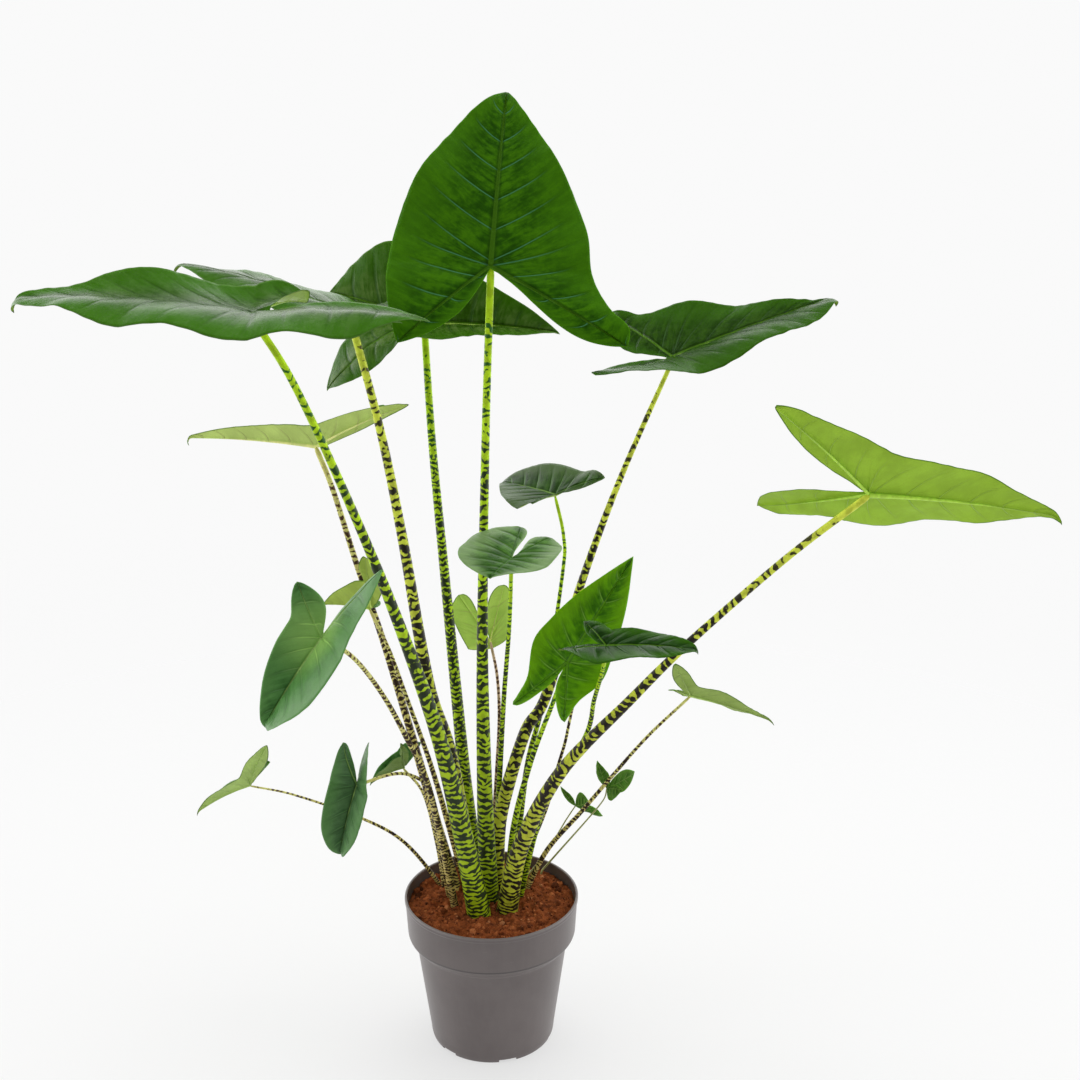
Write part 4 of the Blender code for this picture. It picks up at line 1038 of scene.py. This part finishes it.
def stalk_finish(name, low_ground, high_ground, low_bar, high_bar, cover, bar_size, seed):
    """Barred skin of a leaf stalk. Cover says how much of it the bars take up."""
    material, skin = new_material(name)
    straight = skin.attribute("straight", "Vector")
    climb = skin.attribute("climb")
    height = skin.axis(straight, "Z") * (1 / bar_size)
    turns = 0.076 * height + 2.0 * height.math("SQRT", height)
    near = skin.node("ShaderNodeVectorMath", {"operation": "ADD"}, {
        0: skin.stretched(straight, (0.8 / bar_size, 0.8 / bar_size, 0.6 / bar_size)),
        1: (3.7 * seed, 1.9 * seed, 5.3 * seed)})
    shift = skin.noise(near, 0.11, 1.5, 0.5)
    waves = skin.math("SINE", 6.283 * turns + 16.0 * shift)
    breaks = skin.noise(skin.stretched(near, (1.0, 1.0, 1.3)), 0.19, 1.5, 0.5)
    edge = skin.noise(straight, 0.55, 2.0)
    bands = skin.noise(skin.stretched(straight, (0.05, 0.05, 0.010)), 1.0, 1.0)
    field = 0.5 * waves + 3.1 * (breaks - 0.5) + 0.5 * (edge - 0.5) + 0.8 * (bands - 0.5)
    level = 0.26 * climb.between(0.50, 0.97) + 0.9 * climb.between(0.90, 0.98) - cover
    level = level - 0.10 * climb.between(0.10, 0.35) * climb.between(0.90, 0.60)
    bars = (field - level).between(-0.20, 0.14)
    ground = skin.mix(climb.between(0.0, 0.9), opaque(low_ground), opaque(high_ground))
    tint = skin.noise(straight, 0.10, 3.0)
    ground = skin.mix(0.5 * tint.between(0.40, 0.62), ground, opaque(low_ground, 0.60))
    bar = skin.mix(climb.between(0.65, 1.0), opaque(low_bar), opaque(high_bar))
    end_material(material, skin.node("ShaderNodeBsdfPrincipled", None, {
        "Base Color": skin.mix(bars, ground, bar), "Roughness": 0.42 + 0.10 * edge,
        "Normal": skin.bump(0.35, 0.0003, edge + 0.6 * bars), "IOR": 1.42,
        "Specular IOR Level": 0.3}))
    return material


# How far the bars take over the skin, by kind, and how large they are on single leaves.
BAR_COVER = {"lime": 0.02, "yellow": 0.02, "tan": 0.04, "pink": 0.0}
BAR_SIZES = {"crown": 1.15, "long_left": 1.25, "back_left": 1.2, "centre_back": 0.8, "right": 1.2,
             "far_right": 1.3, "low_left": 0.9}
for number, (name, leaf) in enumerate(LEAVES.items()):
    blade = blades[name]
    kind = leaf["stalk"]
    finish = stalk_finish(name + "_stalk_skin", *STALK_FINISHES[kind], BAR_COVER[kind],
                          BAR_SIZES.get(name, 1.0 if blade.big else 0.78), number)
    stalk = run_tree(name + "_petiole", curve_data(name, [stalk_run(blade)]), swept, {
        "Sides": 28 if blade.big else 16, "Material": finish})
    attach(stalk, "root")
    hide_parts(name + "_stalk")


# Leaf blades
# Leathery arrow-shaped blades, thin at the margin, raised a little between their
# side veins, with a sunken paler main rib above and a paler face below.
# The sizes are in millimetres.
BLADE_THICKNESS = 0.7
MARGIN_THICKNESS = 0.35
MARGIN_TAPER = 8.0


def thin_body(name, top, rises, facts, faces, turns):
    """A closed body under a leaf's upper surface, with what its finish needs at each place."""
    normals = [Vector() for _ in top]
    for face in faces:
        if len(face) == 4:
            normal = (top[face[2]] - top[face[0]]).cross(top[face[3]] - top[face[1]])
        else:
            normal = (top[face[1]] - top[face[0]]).cross(top[face[2]] - top[face[0]])
        for corner in face:
            normals[corner] += normal
    normals = [normal.normalized() for normal in normals]
    upper = [place + normal * rise for place, normal, rise in zip(top, normals, rises)]
    lower = []
    for place, normal, (_, rim, _, _) in zip(upper, normals, facts):
        body = min(1.0, rim / MARGIN_TAPER)
        thick = MARGIN_THICKNESS + (BLADE_THICKNESS - MARGIN_THICKNESS) * body
        lower.append(place - normal * thick * MM)
    count = len(top)
    edges = {}
    for face, turn in zip(faces, turns):
        for k in range(len(face)):
            m = (k + 1) % len(face)
            edges[(face[k], face[m])] = (turn[k], turn[m])
    solid = faces + [[corner + count for corner in reversed(face)] for face in faces]
    corner_turns = turns + [turn[::-1] for turn in turns]
    for (a, b), (turn_a, turn_b) in edges.items():
        if (b, a) not in edges:
            solid.append([b, a, a + count, b + count])
            corner_turns.append([turn_b, turn_a, turn_a, turn_b])
    mesh = bpy.data.meshes.new(name)
    mesh.from_pydata([tuple(v) for v in upper + lower], [], solid)
    mesh.attributes.new("lateral", "FLOAT", "CORNER").data.foreach_set(
        "value", [turn for turns_here in corner_turns for turn in turns_here])
    for index, label in enumerate(("spacing", "rim", "rib", "share")):
        values = [fact[index] for fact in facts]
        mesh.attributes.new(label, "FLOAT", "POINT").data.foreach_set("value", values + values)
    mesh.attributes.new("under", "FLOAT", "POINT").data.foreach_set(
        "value", [0.0] * count + [1.0] * count)
    return mesh


# Rows in front of the joint, round it and along a lobe, and places in a row from the
# ribs to the outer margin and to the sinus.
BIG_GRID = (60, 18, 46, 36, 16)
SMALL_GRID = (34, 10, 26, 20, 8)


def blade_mesh(name, blade):
    """One blade's grid of places, from the ribs to the margins, made a thin body."""
    front, fan, lobe_rows, columns, inner_columns = BIG_GRID if blade.big else SMALL_GRID
    rows = stations_of(front, fan, lobe_rows)
    last_joint_row = front + fan
    keys, top, facts, rises, faces, turns = {}, [], [], [], [], []

    def vertex(key, half, station, share, inner):
        turn = blade.lateral(station, share)
        if key not in keys:
            keys[key] = len(top)
            flat = blade.flat_place(half, station, share, inner)
            spacing = blade.spacing(half, station, share, inner)
            ratio = blade.rib_ratio(half, flat, inner)
            rim = (blade.rim_place(half, station, inner) - flat).length / MM
            top.append(blade.place(half, station, share, inner))
            rises.append(blade.relief(half, station, share, inner, spacing, ratio))
            facts.append((spacing / MM, rim, ratio, share))
        return keys[key], turn

    for side, half in enumerate(blade.halves):
        def outer(i, j):
            share = (j / columns) ** 1.4
            key = (side, i, j)
            if i == 0:
                key = "tip"
            elif i == len(rows) - 1:
                key = ("lobe", side)
            elif j == 0 and i < front:
                key = ("midrib", i)
            elif j == 0 and i <= last_joint_row:
                key = "joint"
            return vertex(key, half, rows[i], share, False)

        def inner(i, j):
            share = (j / inner_columns) ** 1.3
            key = ("inner", side, i, j)
            if i == len(rows) - 1:
                key = ("lobe", side)
            elif j == 0:
                return outer(i, 0)
            elif i == last_joint_row:
                key = ("web", j)
            return vertex(key, half, rows[i], share, True)

        quads = [(outer(i, j), outer(i, j + 1), outer(i + 1, j + 1), outer(i + 1, j))
                 for i in range(len(rows) - 1) for j in range(columns)]
        quads += [(inner(i, j), inner(i + 1, j), inner(i + 1, j + 1), inner(i, j + 1))
                  for i in range(last_joint_row, len(rows) - 1) for j in range(inner_columns)]
        for quad in quads:
            kept = [corner for k, corner in enumerate(quad)
                    if corner[0] not in [other[0] for other in quad[:k]]]
            if len(kept) > 2:
                kept = kept if half["turn"] == 1 else kept[::-1]
                faces.append([corner[0] for corner in kept])
                turns.append([corner[1] for corner in kept])
    return thin_body(name, top, rises, facts, faces, turns)


BLADE_FINISHES = {
    # upper face, its lighter mottles and its margins (a painted sheen where they are grey);
    # underside; side veins and main rib above
    "rich": dict(upper=(0.020, 0.098, 0.0006), light=(0.060, 0.205, 0.0010),
                 edge=(0.060, 0.210, 0.002), under=(0.18, 0.36, 0.04), vein=(0.070, 0.260, 0.110),
                 rib=(0.050, 0.150, 0.004), roughness=0.40, gloss=0.08),
    "dark": dict(upper=(0.012, 0.050, 0.0005), light=(0.034, 0.105, 0.0010),
                 edge=(0.040, 0.150, 0.001), under=(0.28, 0.44, 0.05), vein=(0.050, 0.130, 0.030),
                 rib=(0.090, 0.220, 0.012), roughness=0.27, gloss=0.24),
    "pale": dict(upper=(0.040, 0.160, 0.008), light=(0.080, 0.240, 0.015),
                 edge=(0.080, 0.240, 0.015), under=(0.46, 0.62, 0.11), vein=(0.200, 0.380, 0.040),
                 rib=(0.320, 0.460, 0.040), roughness=0.45, gloss=0.12),
    "bright": dict(upper=(0.040, 0.165, 0.0010), light=(0.130, 0.380, 0.0015),
                   edge=(0.190, 0.480, 0.001), under=(0.22, 0.48, 0.02), vein=(0.200, 0.440, 0.050),
                   rib=(0.120, 0.330, 0.010), roughness=0.30, gloss=0.20),
    "blue": dict(upper=(0.060, 0.185, 0.040), light=(0.100, 0.260, 0.070),
                 edge=(0.110, 0.280, 0.070), under=(0.24, 0.38, 0.10), vein=(0.130, 0.300, 0.100),
                 rib=(0.230, 0.400, 0.100), roughness=0.38, gloss=0.20),
    # Its pale grey margins are a painted sheen.
    "grey": dict(upper=(0.018, 0.085, 0.005), light=(0.070, 0.190, 0.025),
                 edge=(0.220, 0.340, 0.140), under=(0.36, 0.50, 0.12), vein=(0.160, 0.290, 0.110),
                 rib=(0.180, 0.330, 0.060), roughness=0.30, gloss=0.30),
}

# What single leaves have in another shade. A heart is a pale patch round the joint.
# The greyer face and mottles of centre_back, long_left and back_left are painted sheen,
# and so are the grey margins of small_high and small_round.
OWN_SHADES = {
    "centre_back": dict(upper=(0.040, 0.120, 0.006), light=(0.110, 0.200, 0.040), gloss=0.16),
    "long_left": dict(upper=(0.030, 0.085, 0.008), light=(0.085, 0.165, 0.040),
                      edge=(0.055, 0.220, 0.001)),
    "back_left": dict(upper=(0.030, 0.085, 0.008), light=(0.100, 0.190, 0.055),
                      edge=(0.050, 0.190, 0.001)),
    "far_right": dict(under=(0.40, 0.65, 0.050), edge=(0.020, 0.110, 0.004)),
    "low_left": dict(under=(0.68, 0.86, 0.25)),
    "front_left": dict(upper=(0.070, 0.215, 0.048), light=(0.110, 0.290, 0.075), heart=0.060),
    "hanging_left": dict(upper=(0.072, 0.168, 0.062), light=(0.108, 0.220, 0.085)),
    "small_folded": dict(under=(0.66, 0.98, 0.19)),
    "thin_right": dict(under=(0.40, 0.56, 0.14)),
    "outer_left": dict(under=(0.46, 0.66, 0.16)),
    "small_high": dict(upper=(0.010, 0.045, 0.002), light=(0.040, 0.110, 0.012), gloss=0.20,
                       edge=(0.100, 0.160, 0.060)),
    "small_round": dict(upper=(0.020, 0.100, 0.004), light=(0.120, 0.290, 0.045),
                        edge=(0.300, 0.440, 0.200), vein=(0.090, 0.190, 0.050),
                        rib=(0.060, 0.190, 0.015)),
    "dark_small": dict(upper=(0.007, 0.040, 0.002), light=(0.020, 0.080, 0.006), gloss=0.25,
                       roughness=0.20),
}


def blade_finish(name, upper, light, edge, under, vein, rib, roughness, gloss,
                 joint=(0.0, 0.0, 0.0), heart=0.0):
    """Leaf skin: mottled, with paler veins, painted shade, light and sheen; paler and duller below.
    """
    material, skin = new_material(name)
    place = skin.node("ShaderNodeTexCoord", output="Object")
    lateral, spacing, rim, ratio, share, under_side = (
        skin.attribute(label) for label in ("lateral", "spacing", "rim", "rib", "share", "under"))
    below = under_side.between(0.3, 0.7)
    away = skin.math("ABSOLUTE", lateral - skin.math("ROUND", lateral)) * spacing
    thread = away.between(1.0, 0.35) * share.between(0.85, 0.35)
    # Painted shade: a dark band along each side vein, where it lies sunk in a furrow.
    shaded_furrow = away.between(3.2, 0.5) * share.between(1.0, 0.5)
    strip = ratio.between(0.95, 0.70)
    shadow = ratio.between(2.4, 0.9)
    grown = skin.node("ShaderNodeCombineXYZ", None, {
        "X": lateral * 5.0, "Y": rim * 0.030, "Z": skin.noise(place, 9.0, 1.0) * 3.0})
    streaks = skin.noise(grown, 1.0, 3.0, 0.6, 0.5)
    wrinkles = skin.noise(skin.stretched(grown, (3.0, 2.0, 1.0)), 1.0, 3.0, 0.6, 0.3)
    mottle = skin.noise(place, 26.0, 3.0, 0.6)
    patches = skin.noise(place, 130.0, 3.0, 0.6)
    cells = skin.node("ShaderNodeTexVoronoi", {"feature": "DISTANCE_TO_EDGE"}, {
        "Vector": place, "Scale": 420.0}, output="Distance")
    net = cells.between(0.10, 0.0)
    tone = 0.45 * streaks + 0.30 * mottle + 0.25 * patches
    face = skin.mix(tone.between(0.42, 0.62), opaque(upper), opaque(light))
    for amount, colour, factor in ((0.6 * tone.between(0.50, 0.36), upper, 0.50),
                                   (0.7 * share.between(0.30, 0.95), edge, 1.0),
                                   # painted shade along the side veins
                                   (0.40 * shaded_furrow, upper, 0.45),
                                   (0.30 * wrinkles.between(0.55, 0.75), light, 1.0),
                                   (0.80 * thread, vein, 1.0),
                                   (0.55 * shadow, upper, 0.45),
                                   (strip, rib, 1.0),
                                   # painted light: the margin's last millimetre made bright, as if
                                   # lit through the thin edge
                                   (0.6 * rim.between(1.3, 0.4), light, 1.7)):
        face = skin.mix(amount, face, opaque(colour, factor))
    if heart:
        apart = skin.node("ShaderNodeVectorMath", {"operation": "DISTANCE"}, {0: place, 1: joint},
                          output="Value")
        pale = apart.between(heart, 0.1 * heart) * (0.45 + 0.5 * mottle + 0.6 * thread)
        face = skin.mix(pale, face, opaque(rib, 1.7))
    back = skin.mix(mottle.between(0.3, 0.7), opaque(under, 0.86), opaque(under, 1.10))
    # The side veins get painted shade on the underside as well.
    for amount, colour, factor in ((0.30 * net, under, 0.75), (0.35 * shaded_furrow, under, 0.78),
                                   (0.35 * streaks.between(0.5, 0.7), under, 0.80),
                                   (0.75 * rim.between(1.6, 0.6), upper, 1.0)):
        back = skin.mix(amount, back, opaque(colour, factor))
    relief = 0.5 * wrinkles + 0.3 * patches + 0.25 * cells - 0.7 * shaded_furrow
    flesh = skin.node("ShaderNodeBsdfPrincipled", None, {
        "Base Color": skin.mix(below, face, back),
        "Roughness": roughness + 0.16 * (patches - 0.5) + 0.12 * below,
        "Normal": skin.bump(0.7, 0.0010, relief), "IOR": 1.45, "Specular IOR Level": gloss})
    through = skin.node("ShaderNodeBsdfTranslucent", None, {"Color": opaque(under, 1.2)})
    end_material(material, skin.node("ShaderNodeMixShader", None, {0: 0.12, 1: flesh, 2: through}))
    return material


finishes = {name: BLADE_FINISHES[leaf["blade"]] | OWN_SHADES.get(name, {})
            for name, leaf in LEAVES.items()}
for name, leaf in LEAVES.items():
    blade = blades[name]
    blade_skin = blade_finish(name + "_blade_skin", joint=tuple(blade.joint), **finishes[name])
    piece = link_object(name + "_leaf", blade_mesh(name + "_leaf", blade), blade_skin)
    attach(piece, "root")
    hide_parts(name + "_blade")


# Ribs
# The fleshy ribs that carry a blade from below: the midrib on from the stalk, one
# along each lobe, and the side veins, all part of the leaf and paler than it.
def under_place(blade, half, station, share, inner, depth):
    """A place below the blade's upper face by a depth, square to the blade."""
    def at(s, t):
        return blade.place(half, min(max(s, 0.0), 1.0), t, inner)

    station = min(max(station, 0.0), 1.0)
    flat = blade.flat_place(half, station, share, inner)
    spacing = blade.spacing(half, station, share, inner)
    ratio = blade.rib_ratio(half, flat, inner)
    depth -= blade.relief(half, station, share, inner, spacing, ratio)

    step = 0.004
    along = at(station + step, share) - at(station - step, share)
    across = at(station, share + 0.01) - at(station, share)
    normal = along.cross(across)
    if normal.length < 1e-12:
        normal = blade.up
    normal.normalize()
    if normal.dot(blade.up) < 0:
        normal.negate()
    return at(station, share) - normal * depth


# Steps along a main rib and a side vein. The skin over them and a vein's least radius
# are in millimetres.
RIB_STEPS = 48
VEIN_STEPS = 24
RIB_COVER = 0.45
LEAST_VEIN = 0.06


def rib_runs(blade):
    """Places and radii of a blade's midrib, lobe ribs and side veins."""
    foot = blade.leaf["radii"][1] * 0.80 * MM
    fine = 0.28 * MM if blade.big else 0.16 * MM
    runs = []

    def add_run(steps, reach, station_of, radius_of, share_of, sides, sunk=1.0):
        """One rib from t = 0 to its reach, halfway between its places on the given sides."""
        places, radii = [], []
        for k in range(steps + 1):
            t = reach * k / steps
            radius = radius_of(t)
            depth = RIB_COVER * MM + sunk * radius
            here = [under_place(blade, half, station_of(t), share_of(t), inner, depth)
                    for half, inner in sides]
            places.append(here[0] if len(here) == 1 else (here[0] + here[1]) / 2)
            radii.append(radius)
        runs.append((places, radii))

    add_run(RIB_STEPS, 0.97, lambda t: Blade.MIDRIB_STATION * (1 - t),
            lambda t: fine + (foot - fine) * (1 - t) ** 1.5, lambda t: 0.02,
            [(half, False) for half in blade.halves])
    for half in blade.halves:
        add_run(RIB_STEPS, 0.95,
                lambda t: Blade.LOBE_STATION + (1 - Blade.LOBE_STATION) * t,
                lambda t: fine + (foot * 0.62 - fine) * (1 - t) ** 1.3, lambda t: 0.01,
                [(half, False)])
        for number in range(1, blade.laterals):
            start = number / blade.laterals
            for inner, reach, size in ((False, 0.94, 1.7), (True, 0.80, 1.2)):
                if inner and start < Blade.LOBE_STATION + 0.05:
                    continue
                add_run(VEIN_STEPS, reach,
                        lambda t: start - Blade.VEIN_LEAN * (0.005 + t) * (0.005 + t),
                        lambda t: fine * size * (1 - (0.005 + t)) ** 0.9 + LEAST_VEIN * MM,
                        lambda t: 0.005 + t, [(half, inner)], 0.40)
    return runs


def rib_finish(name, colour):
    """Smooth fleshy rib, a little mottled along its length."""
    material, skin = new_material(name)
    place = skin.node("ShaderNodeTexCoord", output="Object")
    tint = skin.noise(place, 160.0, 3.0)
    thin = (1000 * skin.attribute("thick")).between(1.1, 0.5)
    tone = skin.mix(tint.between(0.35, 0.65), opaque(colour, 0.85), opaque(colour, 1.10))
    tone = skin.mix(thin, tone, opaque(colour, 0.62))
    end_material(material, skin.node("ShaderNodeBsdfPrincipled", None, {
        "Base Color": tone, "Roughness": 0.42, "Normal": skin.bump(0.3, 0.0002, tint),
        "IOR": 1.42}))
    return material


for name, leaf in LEAVES.items():
    colour = [min(1.0, v * 1.30 + 0.02) for v in finishes[name]["under"]]
    rib_skin = rib_finish(name + "_rib_skin", colour)
    ribs = run_tree(name + "_ribs", curve_data(name + "_ribs", rib_runs(blades[name])), swept, {
        "Sides": 8, "Material": rib_skin})
    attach(ribs, "root")


# Seedlings
# Two weeds that came up in the soil by themselves: a thin pale stem each, with three
# pointed oval leaflets at its top.

# Each leaflet has its tip and the middles of its two margins, in millimetres.
SEEDLINGS = {
    "seedling_high": dict(
        path=[(60, 70, 174), (70, 72, 189), (115, 66, 249), (137, 62, 281), (141, 60, 298)],
        leaflets=[((129, 52, 336), (128, 51, 321), (143, 52, 321)),
                  ((176, 66, 316), (160, 64, 321), (162, 62, 294)),
                  ((159, 48, 302), (152, 52, 306), (146, 44, 289))]),
    "seedling_low": dict(
        path=[(42, 60, 174), (60, 64, 198), (78, 68, 226), (91, 74, 247), (103, 78, 265)],
        leaflets=[((84, 84, 288), (91, 79, 275), (97, 79, 280)),
                  ((121, 82, 267), (109, 80, 283), (113, 79, 261)),
                  ((138, 80, 248), (125, 84, 262), (120, 83, 253))]),
}
LEAFLET_VEINS = 5
STEM_STEPS = 40
STEM_FOOT_RADIUS = 1.5
STEM_TAPER = 0.7


def leaflet_mesh(name, base, tip, left, right, seed):
    """One pointed oval leaflet, a little folded along its middle, as a thin body."""
    rows, columns = 26, 8
    middle = base.lerp(tip, 0.5)
    ahead = tip - base
    up = ahead.cross(left - right).normalized()
    keys, top, rises, facts, faces, turns = {}, [], [], [], [], []

    def vertex(side, k, c):
        t, share = k / rows, c / columns
        turn = LEAFLET_VEINS * (t - 0.14 * share)
        key = (side, k, c) if c else (0, k, 0)
        if key not in keys:
            keys[key] = len(top)
            reach = ((left, right)[side] - middle) * max(0.03, math.sin(math.pi * t ** 0.9) ** 0.85)
            ripple = noise.noise(Vector((t * 5.0, side * 4.0, seed))) * share * share
            arch = 0.22 * t * (1 - t) - 0.10 * max(0.0, (t - 0.8) / 0.2) ** 2
            top.append(base.lerp(tip, t) + reach * share + up * (ahead.length * arch))
            rises.append(0.0014 * ripple)
            width = reach.length / MM
            facts.append((ahead.length / MM / LEAFLET_VEINS, width * (1 - share),
                          width * share / 0.45, share))
        return keys[key], turn

    for side in (0, 1):
        for k in range(rows):
            for c in range(columns):
                corners = [vertex(side, k, c), vertex(side, k + 1, c), vertex(side, k + 1, c + 1),
                           vertex(side, k, c + 1)]
                corners = corners[::-1] if side else corners
                faces.append([corner[0] for corner in corners])
                turns.append([corner[1] for corner in corners])
    return thin_body(name, top, rises, facts, faces, turns)


stem_skin = rib_finish("stem_skin", (0.40, 0.42, 0.16))
leaflet_skin = blade_finish(
    "leaflet_skin", upper=(0.060, 0.180, 0.015), light=(0.120, 0.300, 0.030),
    edge=(0.150, 0.330, 0.040), under=(0.150, 0.320, 0.060), vein=(0.180, 0.350, 0.060),
    rib=(0.240, 0.400, 0.090), roughness=0.5, gloss=0.15)
for name, plant in SEEDLINGS.items():
    foot, *path = [millimetres(p) for p in plant["path"]]
    path = smooth_path([foot - Vector((0.0, 0.0, STALK_DEPTH * MM)), foot, *path], STEM_STEPS)
    radii = [(STEM_FOOT_RADIUS - STEM_TAPER * k / STEM_STEPS) * MM for k in range(STEM_STEPS + 1)]
    stem = run_tree(name + "_stem", curve_data(name, [(path, radii)]), swept, {
        "Sides": 10, "Material": stem_skin})
    pieces = [stem]
    for number, places in enumerate(plant["leaflets"]):
        label = f"{name}_leaflet_{number + 1}"
        body = leaflet_mesh(label, path[-1], *[millimetres(p) for p in places], 40 + number)
        pieces.append(link_object(label, body, leaflet_skin))
    for piece in pieces:
        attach(piece, "root")
        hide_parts(name)
